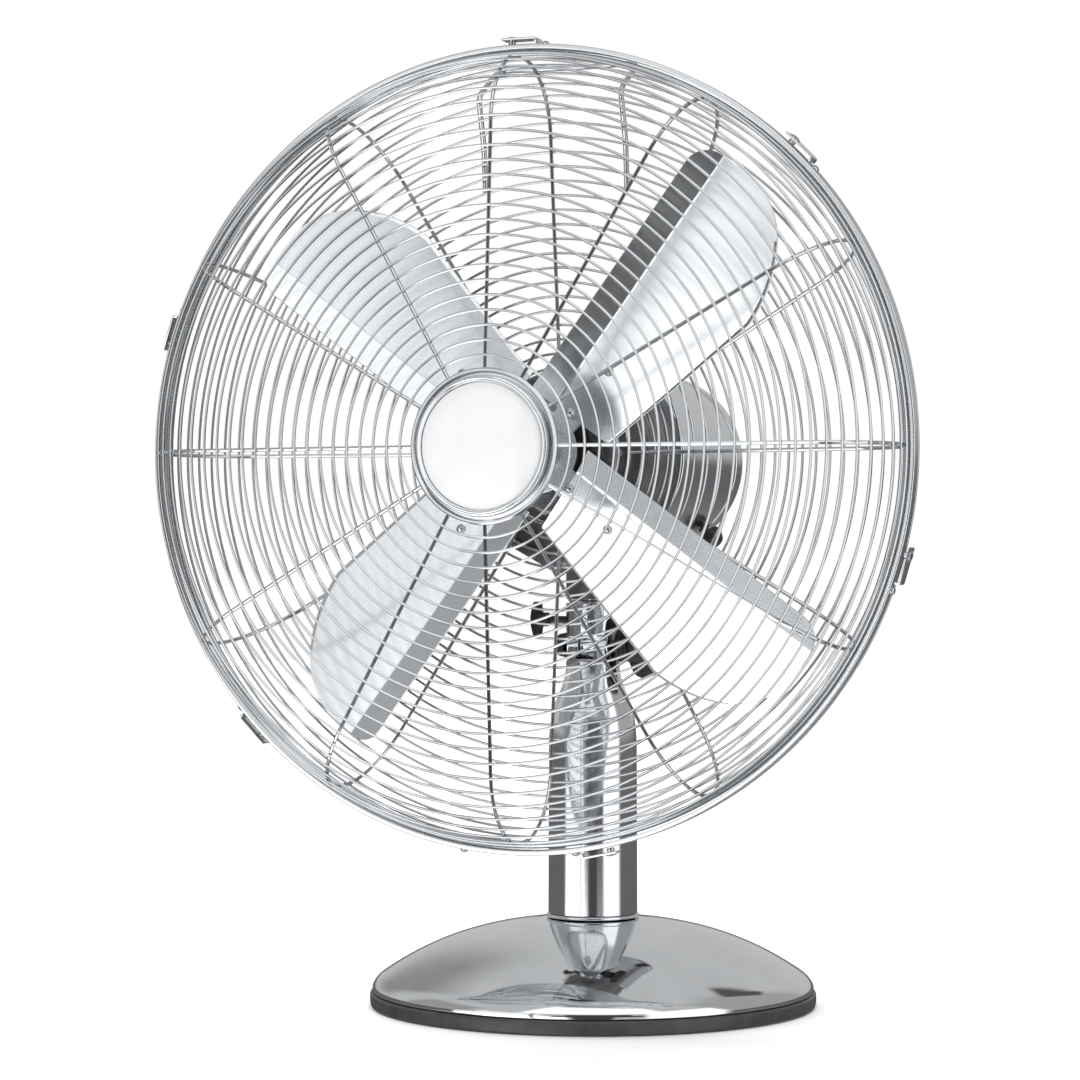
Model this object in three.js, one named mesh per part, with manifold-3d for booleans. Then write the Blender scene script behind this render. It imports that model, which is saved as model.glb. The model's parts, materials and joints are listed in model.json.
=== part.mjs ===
// Chrome desk fan with a 40 cm rotor: weighted dome base, bottle column, tilting neck and
// oscillating head. Millimetres, +Z up, floor at Z = 0, column on the Z axis, air blows to -Y.
import * as THREE from 'three';
import { mergeVertices } from 'three/addons/utils/BufferGeometryUtils.js';
import Module from 'manifold-3d';

const wasm = await Module();
wasm.setup();

// ---- Driving dimensions -------------------------------------------------------------------
const GAP = 0.3; // air gap kept between touching pieces
const HEAD_Z = 322; // height of the fan axis
const TILT_Z = 211; // height of the tilt pivot
const BASE_R = 131;
const BASE_TRIM_HEIGHT = 8.5;
const DOME_RISE = 42.5; // dome apex above its trim ring
const DOME_POWER = 2.75; // how late the dome falls away
const COLUMN_R = 26.2;
const COLUMN_FOOT_Z = 54;
const NECK_R = 15.7;
const NECK_TOP_Z = 236;
const SHEET = 1.2; // drawn sheet metal
const GUARD_R = 219; // centre of the rim wires
const SHOULDER_R = 45; // rounding between guard face and rim
const HUB_RING_R = 41; // innermost ring of both guards
const FRONT_RIM_Y = -121;
const REAR_RIM_Y = -114;
const FACE_SLOPE = 0.064; // front face, depth per radius
const REAR_SLOPE = 0.113;
const RIM_WIRE = 1.5; // wire radii
const RING_WIRE = 1.2;
const GUARD_RIBS = 6;
const GUARD_RINGS = 4;
const BAND_R = 224.5; // outside of the rim band
const CLIP_ANGLES = [90, 45, -16.5, -78, -136, 162];
const CLIP_Y = -117.5;
const BAND_RIVET_ANGLES = [...CLIP_ANGLES.map((angle) => angle - 3.7), -98.6];
const BLADE_Y = -98; // plane of the blade fold lines
const BLADE_R = 200;
const BLADE_COUNT = 4;
const BLADE_FOLD_ANGLE = 53.6; // fold line of the first blade, from +X
const BLADE_FOLD_OFFSET = 5.2; // fold line beside the radius
const SPIDER_ANGLE = 44.5;
const HOUSING_R = 54;
const HOUSING_FRONT_Y = 8;
const HOUSING_REAR_Y = 137;
const COVER_R = 49;
const COVER_FRONT_Y = -52;
const SHAFT_R = 4;
const STACK_FRONT_Y = -18; // laminations of stator and rotor
const STACK_REAR_Y = 8;
const ROUND = 28; // facets of a large round piece
const SMALL = 12;

const GEAR_Y = 74; // oscillation gears stand across this plane
const WHEEL_X = 18;
const CRANK_X = -7;
const CRANK_THROW = 10;
const LINK_PIVOT = new THREE.Vector2(-16, 28);
const LINK_Z = 257;
const SWITCH_ANGLE = -50; // speed switch, below the horizontal on the +X side
const SWITCH_Y = 108;
const LOCK_Z = 226; // thumbscrew that locks the swivel

// ---- Materials ----------------------------------------------------------------------------
const finish = (color, roughness, metalness) =>
  new THREE.MeshStandardMaterial({ color, roughness, metalness, flatShading: true });
const chrome = finish(0xd9dcde, 0.06, 1);
const satinSteel = finish(0xb9bdc0, 0.3, 1);
const bladeMetal = finish(0xdadddf, 0.35, 0.8);
const castIron = finish(0x4a4c4e, 0.7, 0.6);
const castDark = finish(0x44484a, 0.5, 0.5);
const blackPlastic = finish(0x17191a, 0.45, 0);
const rubber = finish(0x1c1c1c, 0.9, 0);
const copper = finish(0xb0683a, 0.4, 0.9);
const bronze = finish(0xa98b4f, 0.4, 0.9);
const steel = finish(0x8d9194, 0.35, 1);
const badgeWhite = finish(0xf3f4f4, 0.1, 0);
const nylon = finish(0xe7e3d4, 0.5, 0);

// ---- Solid helpers ------------------------------------------------------------------------
const rad = THREE.MathUtils.degToRad;

// One closed mesh with merged corners, no zero triangles and its faces pointing out.
function closed(source) {
  const bare = new THREE.BufferGeometry();
  bare.setAttribute('position', source.getAttribute('position'));
  if (source.index) bare.setIndex(source.index);
  const merged = mergeVertices(bare, 1e-4);
  const old = merged.index.array;
  const at = (i) => new THREE.Vector3().fromBufferAttribute(merged.getAttribute('position'), i);
  const kept = [];
  let volume = 0;
  for (let i = 0; i < old.length; i += 3) {
    const [a, b, c] = [old[i], old[i + 1], old[i + 2]];
    if (a === b || b === c || c === a) continue;
    kept.push(a, b, c);
    volume += at(a).dot(at(b).cross(at(c)));
  }
  if (volume < 0) kept.reverse();
  merged.setIndex(kept);
  return merged;
}

function toSolid(source) {
  const mesh = closed(source);
  return new wasm.Manifold(new wasm.Mesh({
    numProp: 3,
    vertProperties: new Float32Array(mesh.getAttribute('position').array),
    triVerts: new Uint32Array(mesh.index.array),
  }));
}

function fromSolid(solid) {
  const mesh = solid.getMesh();
  const result = new THREE.BufferGeometry();
  result.setAttribute('position', new THREE.BufferAttribute(mesh.vertProperties, 3));
  result.setIndex(new THREE.BufferAttribute(mesh.triVerts, 1));
  return result;
}

const join = (...shapes) => fromSolid(shapes.map(toSolid).reduce((sum, next) => sum.add(next)));
const cut = (body, ...tools) =>
  fromSolid(tools.map(toSolid).reduce((left, tool) => left.subtract(tool), toSolid(body)));

// Ring or disc between two stations on an axis; a zero bore gives a solid disc.
function disc(axis, from, to, outer, bore = 0, facets = SMALL) {
  const outline = bore > 0
    ? [[bore, from], [outer, from], [outer, to], [bore, to], [bore, from]]
    : [[0, from], [outer, from], [outer, to], [0, to]];
  return turned(axis, outline, facets);
}

// Turned piece from [radius, station] points, about the X, Y or Z axis.
function turned(axis, outline, facets = ROUND) {
  const points = outline.map(([radius, station]) => new THREE.Vector2(radius, station));
  const shape = new THREE.LatheGeometry(points, facets);
  if (axis === 'z') shape.rotateX(Math.PI / 2);
  if (axis === 'x') shape.rotateZ(-Math.PI / 2);
  return closed(shape);
}

function box(low, high) {
  const size = high.map((value, i) => value - low[i]);
  return new THREE.BoxGeometry(...size).translate(...low.map((value, i) => value + size[i] / 2));
}

// Outline in the XZ plane, pushed along Y between two stations.
function plateAlongY(corners, from, to) {
  const shape = new THREE.Shape(corners.map(([x, z]) => new THREE.Vector2(x, z)));
  const solid = new THREE.ExtrudeGeometry(shape, { depth: to - from, bevelEnabled: false });
  return closed(solid.rotateX(Math.PI / 2).translate(0, to, 0));
}

// Outline in the XY plane, pushed along Z between two heights.
function plateAlongZ(shape, from, to, curveSegments = 6) {
  const solid = new THREE.ExtrudeGeometry(shape, {
    depth: to - from,
    bevelEnabled: false,
    curveSegments,
  });
  return closed(solid.translate(0, 0, from));
}

// Round-ended bar between two points of the XY plane.
function bar(a, b, radius) {
  const along = Math.atan2(b.y - a.y, b.x - a.x);
  const shape = new THREE.Shape();
  shape.absarc(a.x, a.y, radius, along + Math.PI / 2, along + 1.5 * Math.PI, false);
  shape.absarc(b.x, b.y, radius, along - Math.PI / 2, along + Math.PI / 2, false);
  return shape;
}

function wire(points, radius, steps, sides = 4) {
  const section = new THREE.Shape();
  for (let i = 0; i < sides; i += 1) {
    const turn = (i + 0.5) * 2 * Math.PI / sides;
    const [x, y] = [radius * Math.cos(turn), radius * Math.sin(turn)];
    if (i === 0) section.moveTo(x, y);
    else section.lineTo(x, y);
  }
  section.closePath();
  const extrudePath = new THREE.CatmullRomCurve3(points);
  return closed(new THREE.ExtrudeGeometry(section, { steps, extrudePath, bevelEnabled: false }));
}

const ringWire = (radius, y, thickness, facets = 18) =>
  new THREE.TorusGeometry(radius, thickness, 4, facets).rotateX(Math.PI / 2).translate(0, y, 0);

// ---- Assembly -----------------------------------------------------------------------------
const fan = new THREE.Group();
const head = new THREE.Group(); // local origin on the fan axis
head.position.z = HEAD_Z;
fan.add(head);

function add(parent, name, geometry, material, turn = 0) {
  const mesh = new THREE.Mesh(closed(geometry), material);
  mesh.name = name;
  mesh.rotation.y = -rad(turn);
  parent.add(mesh);
}

// ---- Stand --------------------------------------------------------------------------------
const domeHeight = (radius, inset = 0) =>
  BASE_TRIM_HEIGHT + DOME_RISE * (1 - (radius / (BASE_R - inset)) ** DOME_POWER) - inset;

function baseDome() {
  const stations = 7;
  const bore = 7.5;
  const edge = BASE_R - 1.5;
  const radius = (i) => bore + (edge - bore) * (i / (stations - 1)) ** 0.8;
  const radii = Array.from({ length: stations }, (_, i) => radius(i));
  const outside = radii.map((r) => [r, domeHeight(r) + GAP]);
  const inside = radii.slice(0, -1).reverse().map((r) => [r, domeHeight(r, SHEET)]);
  const rim = [edge - SHEET, BASE_TRIM_HEIGHT + GAP];
  return turned('z', [...outside, rim, ...inside, outside[0]], 36);
}

function addBase() {
  add(fan, 'anti_slip_pad', disc('z', 0, 2.2, 122, 0, 36), rubber);
  add(fan, 'bottom_plate', disc('z', 2.5, 3.9, 122, 0, 36), satinSteel);
  const trim = turned('z', [[122.6, 0.4], [BASE_R - 1, 0.4], [BASE_R, 2], [BASE_R, BASE_TRIM_HEIGHT],
    [122.6, BASE_TRIM_HEIGHT], [122.6, 0.4]], 36);
  const notch = box([-4.4, 110, 2.6], [4.4, 140, 20]);
  add(fan, 'base_trim_ring', cut(trim, notch), blackPlastic);
  const gland = box([-4, BASE_R - 8.2, 3], [4, BASE_R - 0.8, BASE_TRIM_HEIGHT]);
  const leadHole = disc('y', 100, 150, 1.8, 0, 8).translate(0, 0, 5.8);
  add(fan, 'cord_gland', cut(gland, leadHole), rubber);
  add(fan, 'ballast_weight', turned('z', [[12, 4.3], [104, 4.3], [103, 10], [60, 14], [12, 14],
    [12, 4.3]], 24), castIron);
  add(fan, 'base_dome', baseDome(), chrome);
}

// ---- Column -------------------------------------------------------------------------------
const column = [[27.2, COLUMN_FOOT_Z], [COLUMN_R, 57], [25.8, 157], [25, 168],
  [23.2, 177], [20, 185], [17.3, 191], [NECK_R, 199], [NECK_R, 202]];

function columnCover() {
  const inside = column.map(([radius, z]) => [radius - SHEET, z]).reverse();
  return turned('z', [...column, ...inside, column[0]], 24);
}

// Fork with two cheeks that hold the tilting tongue.
function neckFork() {
  const shoulder = TILT_Z - 0.6;
  const lip = NECK_R - SHEET - GAP;
  const root = turned('z', [[0, 196], [lip - 1.4, 196], [lip, 202.3], [NECK_R, 202.3],
    [NECK_R, shoulder], [0, shoulder]]);
  const knuckle = disc('x', 3 - NECK_R, NECK_R - 3, 10.6, 0, 24).translate(0, 0, TILT_Z);
  const slot = box([-5.6, -20, TILT_Z - 9.4], [5.6, 20, TILT_Z + 20]);
  const bolt = disc('x', -20, 20, 3.3, 0, 12).translate(0, 0, TILT_Z);
  return cut(join(root, knuckle), slot, bolt);
}

function addColumn() {
  add(fan, 'column_foot_ring', disc('z', 51.7, COLUMN_FOOT_Z - GAP, 27.4, 7.6, ROUND), chrome);
  add(fan, 'column_cover', columnCover(), chrome);
  add(fan, 'support_tube', disc('z', 6, 195.7, 7, 5), satinSteel);
  add(fan, 'tube_washer', disc('z', 14.3, 15.8, 22, 7.3), satinSteel);
  add(fan, 'tube_nut', cut(disc('z', 16.1, 21.1, 11, 0, 6), disc('z', 10, 30, 7.4)), steel);
  add(fan, 'neck_fork', neckFork(), chrome);
  const tilt = (shape) => shape.translate(0, 0, TILT_Z);
  add(fan, 'tilt_bolt', tilt(disc('x', 0.6 - NECK_R, 34, 3, 0, 12)), steel);
  add(fan, 'tilt_bolt_cap', tilt(turned('x', [[0, -21.8], [4.6, -21.6], [6.8, -19.6], [7.5, -16],
    [0, -16]], SMALL)), blackPlastic);
  add(fan, 'tilt_spacer', tilt(disc('x', 16, 25, 10, 3.3)), blackPlastic);
  add(fan, 'tilt_knob', tilt(turned('x', [[3.3, 25.4], [17, 25.4], [19, 27.5], [19, 35], [16.5, 37.5],
    [0, 38], [0, 34.3], [3.3, 34.3], [3.3, 25.4]], 24)), blackPlastic);
}

// ---- Tilting neck head --------------------------------------------------------------------
function swivelHead() {
  const barrel = disc('z', TILT_Z + 6, NECK_TOP_Z, NECK_R, 0, ROUND);
  const clear = disc('x', -20, 20, 11.4, 0, 24).translate(0, 0, TILT_Z);
  const tongue = join(
    box([-5.2, -8, TILT_Z], [5.2, 8, TILT_Z + 14]),
    disc('x', -5.2, 5.2, 8.6, 0, 20).translate(0, 0, TILT_Z),
  );
  const bolt = disc('x', -20, 20, 3.3, 0, 12).translate(0, 0, TILT_Z);
  const stub = disc('z', NECK_TOP_Z - 1, 264, 6);
  const lockHole = disc('x', -20, -6, 2.4, 0, 10).translate(0, 0, LOCK_Z);
  return cut(join(cut(barrel, clear), tongue, stub), bolt, lockHole);
}

// Arm that carries the fixed pivot of the oscillation link.
function linkArm() {
  const centre = new THREE.Vector2(0, 0);
  const plate = plateAlongZ(bar(centre, LINK_PIVOT, 7), NECK_TOP_Z + GAP, NECK_TOP_Z + 1.6);
  const pin = disc('z', NECK_TOP_Z + 1, LINK_Z + 2.9, 2.4, 0, 12)
    .translate(LINK_PIVOT.x, LINK_PIVOT.y, 0);
  const collar = disc('z', NECK_TOP_Z + 1, LINK_Z - GAP, 4, 0, 12)
    .translate(LINK_PIVOT.x, LINK_PIVOT.y, 0);
  return cut(join(plate, pin, collar), disc('z', 230, 250, 6 + GAP));
}

function addSwivel() {
  add(fan, 'swivel_head', swivelHead(), chrome);
  add(fan, 'link_arm', linkArm(), steel);
  const lock = (shape) => shape.translate(0, 0, LOCK_Z);
  const stem = lock(disc('x', -29, -9, 2.1, 0, 10));
  const boss = lock(disc('x', -33, -27, 4.2, 0, 12));
  const wing = box([-38.5, -3, LOCK_Z - 10.5], [-32.5, 3, LOCK_Z + 10.5]);
  add(fan, 'swivel_lock_screw', join(stem, boss, wing), blackPlastic);
}

// ---- Oscillation drive --------------------------------------------------------------------
function addOscillationDrive() {
  const pivot = LINK_PIVOT;
  const crankPin = new THREE.Vector2(CRANK_X - CRANK_THROW, GEAR_Y);
  const link = plateAlongZ(bar(pivot, crankPin, 5), LINK_Z, LINK_Z + 2.5);
  const eye = disc('z', 250, 270, 2.7, 0, 12);
  add(fan, 'oscillation_link', cut(
    link,
    eye.clone().translate(pivot.x, pivot.y, 0),
    eye.clone().translate(crankPin.x, crankPin.y, 0),
  ), satinSteel);

  const crank = (shape) => shape.translate(CRANK_X, GEAR_Y, 0);
  const crankDisc = join(disc('z', 263, 266, 14, 0, 20), disc('z', 265, 269.5, 5.5));
  const pin = disc('z', LINK_Z + 3, 264, 2.4, 0, 12).translate(-CRANK_THROW, 0, 0);
  add(fan, 'crank_disc', cut(crank(join(crankDisc, pin)), crank(disc('z', 265.5, 280, 3.3))), steel);
  const crankGear = join(disc('z', 288, 293, 19.7, 0, ROUND), disc('z', 265.8, 290, 3));
  add(fan, 'crank_gear', crank(crankGear), nylon);

  const wheel = (shape) => shape.translate(WHEEL_X, GEAR_Y, 0);
  const wormWheel = disc('z', HEAD_Z - 4, HEAD_Z + 4, 13, 0, 24);
  const pinion = disc('z', 287, 294, 5);
  const wheelShaft = disc('z', 284.5, 331, 2.5, 0, 12);
  add(fan, 'worm_wheel', wheel(join(wormWheel, pinion, wheelShaft)), nylon);
  add(fan, 'clutch_knob', wheel(turned('z', [[0, 331.4], [2.5, 331.4], [2.5, 376.4], [7, 376.4],
    [8, 377.9], [8, 384.4], [6, 387.4], [0, 388.4]], SMALL)), blackPlastic);

  const tray = box([-30, 35.3, 283], [30, 98, 298]);
  const room = box([-28.2, 52, 285], [28.2, 96.2, 310]);
  const shafts = [crank(disc('z', 270, 290, 3.3)), wheel(disc('z', 284.2, 290, 2.8, 0, 12))];
  const mouth = box([-24, 30, 285], [24, 55, 310]);
  add(fan, 'gear_case', cut(tray, room, mouth, ...shafts), satinSteel);
}

// ---- Motor --------------------------------------------------------------------------------
function motorFrontCover() {
  const wall = 1.6;
  const rear = HOUSING_FRONT_Y - GAP;
  const shell = turned('y', [[6, -66], [13.5, -66], [13.5, COVER_FRONT_Y], [COVER_R - 4, COVER_FRONT_Y],
    [COVER_R, COVER_FRONT_Y + 4], [COVER_R, rear], [COVER_R - wall, rear],
    [COVER_R - wall, COVER_FRONT_Y + 5], [COVER_R - 5, COVER_FRONT_Y + wall],
    [11.4, COVER_FRONT_Y + wall], [11.4, -59], [6, -59], [6, -66]]);
  const slotCount = 10;
  const slots = Array.from({ length: slotCount }, (_, i) =>
    box([20, -60, -2.2], [39, -45, 2.2]).rotateY(i * 2 * Math.PI / slotCount));
  return cut(shell, ...slots);
}

function motorHousing() {
  const corner = 14;
  const flangeR = COVER_R - 2; // turned-in front edge, behind the cover
  const arc = [0, 30, 60, 90].map(rad);
  const bend = (radius) => arc.map((turn) => [
    HOUSING_R - corner + radius * Math.cos(turn),
    HOUSING_REAR_Y - corner + radius * Math.sin(turn),
  ]);
  const outside = [[HOUSING_R, HOUSING_FRONT_Y], ...bend(corner), [0, HOUSING_REAR_Y]];
  const inside = [[0, HOUSING_REAR_Y - SHEET], ...bend(corner - SHEET).reverse(),
    [HOUSING_R - SHEET, HOUSING_FRONT_Y + SHEET], [flangeR, HOUSING_FRONT_Y + SHEET],
    [flangeR, HOUSING_FRONT_Y], [HOUSING_R, HOUSING_FRONT_Y]];
  const shell = turned('y', [...outside, ...inside], 36);
  const crankHole = disc('z', -60, -40, 7).translate(CRANK_X, GEAR_Y, 0);
  const clutchHole = disc('z', 40, 60, 3.2).translate(WHEEL_X, GEAR_Y, 0);
  const switchHole = disc('x', 44, 60, 4).rotateY(-rad(SWITCH_ANGLE)).translate(0, SWITCH_Y, 0);
  const ventCount = 6;
  const vents = Array.from({ length: ventCount }, (_, i) =>
    box([14, 130, -2], [30, 140, 2]).rotateY((i + 0.5) * 2 * Math.PI / ventCount));
  return cut(shell, crankHole, clutchHole, switchHole, ...vents);
}

// Cast saddle between the swivel stub and the motor.
function saddle() {
  const block = plateAlongY([[-40, 300], [-38, 271], [-6, 253.5], [6, 253.5], [38, 271], [40, 300]],
    -48, 14);
  const boss = disc('z', NECK_TOP_Z + 2.2, 262, NECK_R, 0, ROUND);
  const motor = disc('y', -70, 60, COVER_R + GAP, 0, ROUND).translate(0, 0, HEAD_Z);
  const housing = disc('y', HOUSING_FRONT_Y - 1, 60, HOUSING_R + GAP + 0.2, 0, 40)
    .translate(0, 0, HEAD_Z);
  return cut(join(block, boss), motor, housing, disc('z', 230, 266, 8.6));
}

function addMotor() {
  const winding = (from, to) =>
    turned('y', [[28, from], [40, from], [40, to], [28, to], [28, from]], 24);
  const bellR = HOUSING_R - SHEET - 0.7;
  add(head, 'motor_front_cover', motorFrontCover(), castDark);
  add(head, 'motor_housing', motorHousing(), chrome);
  add(fan, 'saddle', saddle(), castDark);
  add(fan, 'swivel_bush', disc('z', 239, 263, 8.3, 6.3), bronze);
  add(head, 'stator_core', disc('y', STACK_FRONT_Y, STACK_REAR_Y, 43.5, 24.6, ROUND), steel);
  add(head, 'stator_winding_front', winding(STACK_FRONT_Y - 12, STACK_FRONT_Y - GAP), copper);
  add(head, 'stator_winding_rear', winding(STACK_REAR_Y + GAP, STACK_REAR_Y + 12), copper);
  add(head, 'front_bearing', disc('y', -58.7, -50.5, 11.1, SHAFT_R + GAP), bronze);
  add(head, 'rear_end_bell', turned('y', [[8.3, 29], [bellR, 29], [bellR, 32], [11, 32], [11, 35],
    [8.3, 35], [8.3, 29]]), satinSteel);
  add(head, 'rear_bearing', disc('y', 28.5, 34.7, 8, SHAFT_R + GAP), bronze);
  add(head, 'run_capacitor', disc('y', 50, 94, 8).translate(-26, 0, 24), blackPlastic);
  add(head, 'rotor_core', disc('y', STACK_FRONT_Y, STACK_REAR_Y, 24, SHAFT_R + GAP, 24), steel);
  add(head, 'motor_shaft', turned('y', [[0, -112], [SHAFT_R, -112], [SHAFT_R, 60], [4.7, 60.5],
    [4.7, 88], [3, 89], [3, 92], [0, 92]], SMALL), steel);

  const flank = (shape) => shape.rotateY(-rad(SWITCH_ANGLE)).translate(0, SWITCH_Y, 0);
  const body = box([28, -8, -11], [43, 8, 11]);
  const collar = disc('x', 42, HOUSING_R, 3.5);
  add(head, 'speed_switch', flank(cut(join(body, collar), disc('x', 36, 60, 2.3))), blackPlastic);
  const stem = disc('x', 38, 59, 2);
  const dome = turned('x', [[0, 57], [6.2, 57], [7, 58], [7, 62], [6, 65], [3.8, 67], [0, 67.8]], SMALL);
  add(head, 'speed_knob', flank(join(stem, dome)), blackPlastic);
}

// ---- Guards -------------------------------------------------------------------------------
// Depth of a guard at a radius: a slightly conical face, then a round shoulder to the rim.
const FACE_EDGE = GUARD_R - SHOULDER_R;

function guardDepth(radius, { rimY, slope, side }) {
  const overFace = Math.max(0, FACE_EDGE - radius) * slope;
  const overShoulder = Math.sqrt(SHOULDER_R ** 2 - Math.max(0, radius - FACE_EDGE) ** 2);
  return rimY + side * (overShoulder + overFace);
}
const FRONT = { rimY: FRONT_RIM_Y, slope: FACE_SLOPE, side: -1 };
const REAR = { rimY: REAR_RIM_Y, slope: REAR_SLOPE, side: 1 };

// A rib runs on the inner side of the rings, from the hub ring to the rim.
function ribWire({ rimY, slope, side }) {
  const bend = SHOULDER_R - 0.8;
  const inner = HUB_RING_R - 0.5;
  const face = [0, 0.3, 0.6, 0.85].map((share) => inner + share * (FACE_EDGE - inner)).map((radius) =>
    new THREE.Vector3(radius, rimY + side * (bend + (FACE_EDGE - radius) * slope), 0));
  const shoulder = [90, 67.5, 45, 22.5, 0].map(rad).map((turn) =>
    new THREE.Vector3(FACE_EDGE + bend * Math.cos(turn), rimY + side * bend * Math.sin(turn), 0));
  return wire([...face, ...shoulder], RIM_WIRE, 11);
}

// Rim, rings and ribs of one cage, ready to be joined.
function guardWires(guard) {
  const span = GUARD_R - HUB_RING_R - 12;
  const rings = Array.from({ length: GUARD_RINGS }, (_, i) => {
    const radius = HUB_RING_R + span * (i + 1) / GUARD_RINGS;
    return ringWire(radius, guardDepth(radius, guard), RING_WIRE);
  });
  const hubRing = ringWire(HUB_RING_R, guardDepth(HUB_RING_R, guard), RIM_WIRE);
  const rim = ringWire(GUARD_R, guard.rimY, RIM_WIRE, 36);
  const rib = ribWire(guard);
  const ribs = Array.from({ length: GUARD_RIBS }, (_, i) =>
    rib.clone().rotateY(i * 2 * Math.PI / GUARD_RIBS));
  return [hubRing, rim, ...rings, ...ribs];
}

function addGuards() {
  const plateY = guardDepth(HUB_RING_R, FRONT);
  const badgePlate = disc('y', plateY + 0.6, plateY + 2.4, HUB_RING_R + 0.8, 0, 24);
  add(head, 'front_guard', join(...guardWires(FRONT), badgePlate), chrome);
  const rearPlateY = guardDepth(HUB_RING_R, REAR);
  const clampPlate = disc('y', rearPlateY - 0.6, rearPlateY + 0.8, HUB_RING_R + 0.8, 14.2, 24);
  add(head, 'rear_guard', join(...guardWires(REAR), clampPlate), chrome);
  add(head, 'guard_nut', disc('y', -63, rearPlateY - 0.9, 24, 13.8, 18), blackPlastic);
  add(head, 'rim_band', rimBand(), satinSteel);

  const badgeY = plateY + 0.3;
  add(head, 'badge_bezel', turned('y', [[34.5, badgeY - 5.6], [36.6, badgeY - 7.4], [38.4, badgeY - 4],
    [38.4, badgeY], [34.5, badgeY], [34.5, badgeY - 5.6]]), chrome);
  add(head, 'badge_disc', turned('y', [[0, badgeY - 6.4], [20, badgeY - 6], [34.2, badgeY - 4.6],
    [34.2, badgeY], [0, badgeY]]), badgeWhite);
  addClips();
  addCarryHandle();
}

// Band round both rims, with the ball-headed rivets that stand beside the clips.
function rimBand() {
  const rivet = turned('x', [[0, BAND_R - 1.5], [2.4, BAND_R - 1.5], [2.4, BAND_R + 0.8],
    [1.4, BAND_R + 2], [0, BAND_R + 2.2]], 8).translate(0, CLIP_Y - 1, 0);
  const rivets = BAND_RIVET_ANGLES.map((angle) => rivet.clone().rotateY(-rad(angle)));
  return join(disc('y', -123, -112, BAND_R, BAND_R - 3, 40), ...rivets);
}

// A clip's plate stands off the band on its bent foot and on the spacer under its screw.
function addClips() {
  const foot = BAND_R + GAP;
  const [half, thick, lift, bend] = [10.5, 1.1, 2.2, 1.3];
  const top = lift + thick;
  const outline = [[-half, 0], [bend - half, 0], [bend - half, lift], [half, lift], [half, top],
    [-half, top]].map(([along, up]) => [foot + up, along]);
  const plate = plateAlongY(outline, CLIP_Y - 5, CLIP_Y + 5);
  const screw = turned('x', [[0, 0], [2.2, 0], [2.2, lift + 0.5], [3.4, lift + 0.5], [3.4, top + 0.4],
    [2, top + 1.1], [0, top + 1.3]], 8).translate(foot, CLIP_Y, 5.5);
  const clip = join(plate, screw);
  CLIP_ANGLES.forEach((angle, i) => add(head, `guard_clip_${i + 1}`, clip, satinSteel, angle));
}

// Wire handle that stands off the back of the rear guard at its top.
function addCarryHandle() {
  const half = 43;
  const onGuard = (up, off) => guardDepth(Math.hypot(half, up), REAR) + off;
  const leg = [[150, onGuard(150, 4)], [175, onGuard(175, 4)], [192, onGuard(192, 5)], [204, -72],
    [214, -58], [220, -48]];
  const left = leg.map(([up, y]) => new THREE.Vector3(-half, y, up));
  const right = leg.map(([up, y]) => new THREE.Vector3(half, y, up)).reverse();
  const grip = [[-38, -43.5], [-20, -42.5], [0, -42], [20, -42.5], [38, -43.5]]
    .map(([x, y]) => new THREE.Vector3(x, y, 223));
  add(head, 'carry_handle', wire([...left, ...grip, ...right], 2.2, 26), chrome);
}

// ---- Blades -------------------------------------------------------------------------------
const LEAD_INNER = new THREE.Vector2(28, -38); // along and across the fold line
const LEAD_OUTER = new THREE.Vector2(128, -64);
const STRIP_WIDTH = 14.5;
const STRIP_RISE = 6;
const PADDLE_DROP = 8;
const CORNER = new THREE.Vector2(181, 1.5); // centre of the strip's round outer corner

function leadEdge(along) {
  if (along <= LEAD_OUTER.x) {
    const share = (along - LEAD_INNER.x) / (LEAD_OUTER.x - LEAD_INNER.x);
    return THREE.MathUtils.lerp(LEAD_INNER.y, LEAD_OUTER.y, share);
  }
  const share = (along - LEAD_OUTER.x) / (BLADE_R - 5 - LEAD_OUTER.x);
  return -15 - (-15 - LEAD_OUTER.y) * Math.sqrt(Math.max(0, 1 - share ** 2));
}

function stripEdge(along) {
  if (along <= CORNER.x) return STRIP_WIDTH;
  const share = (along - CORNER.x) / (BLADE_R - 5 - CORNER.x);
  return CORNER.y + (STRIP_WIDTH - CORNER.y) * Math.sqrt(Math.max(0, 1 - share ** 2));
}

// Height of the sheet ahead of the fold line: the strip bends forward, the paddle falls back.
const bladeRise = (across) => (across > 0
  ? STRIP_RISE * across / STRIP_WIDTH
  : -PADDLE_DROP * (-across / 64) ** 1.3);

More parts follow.
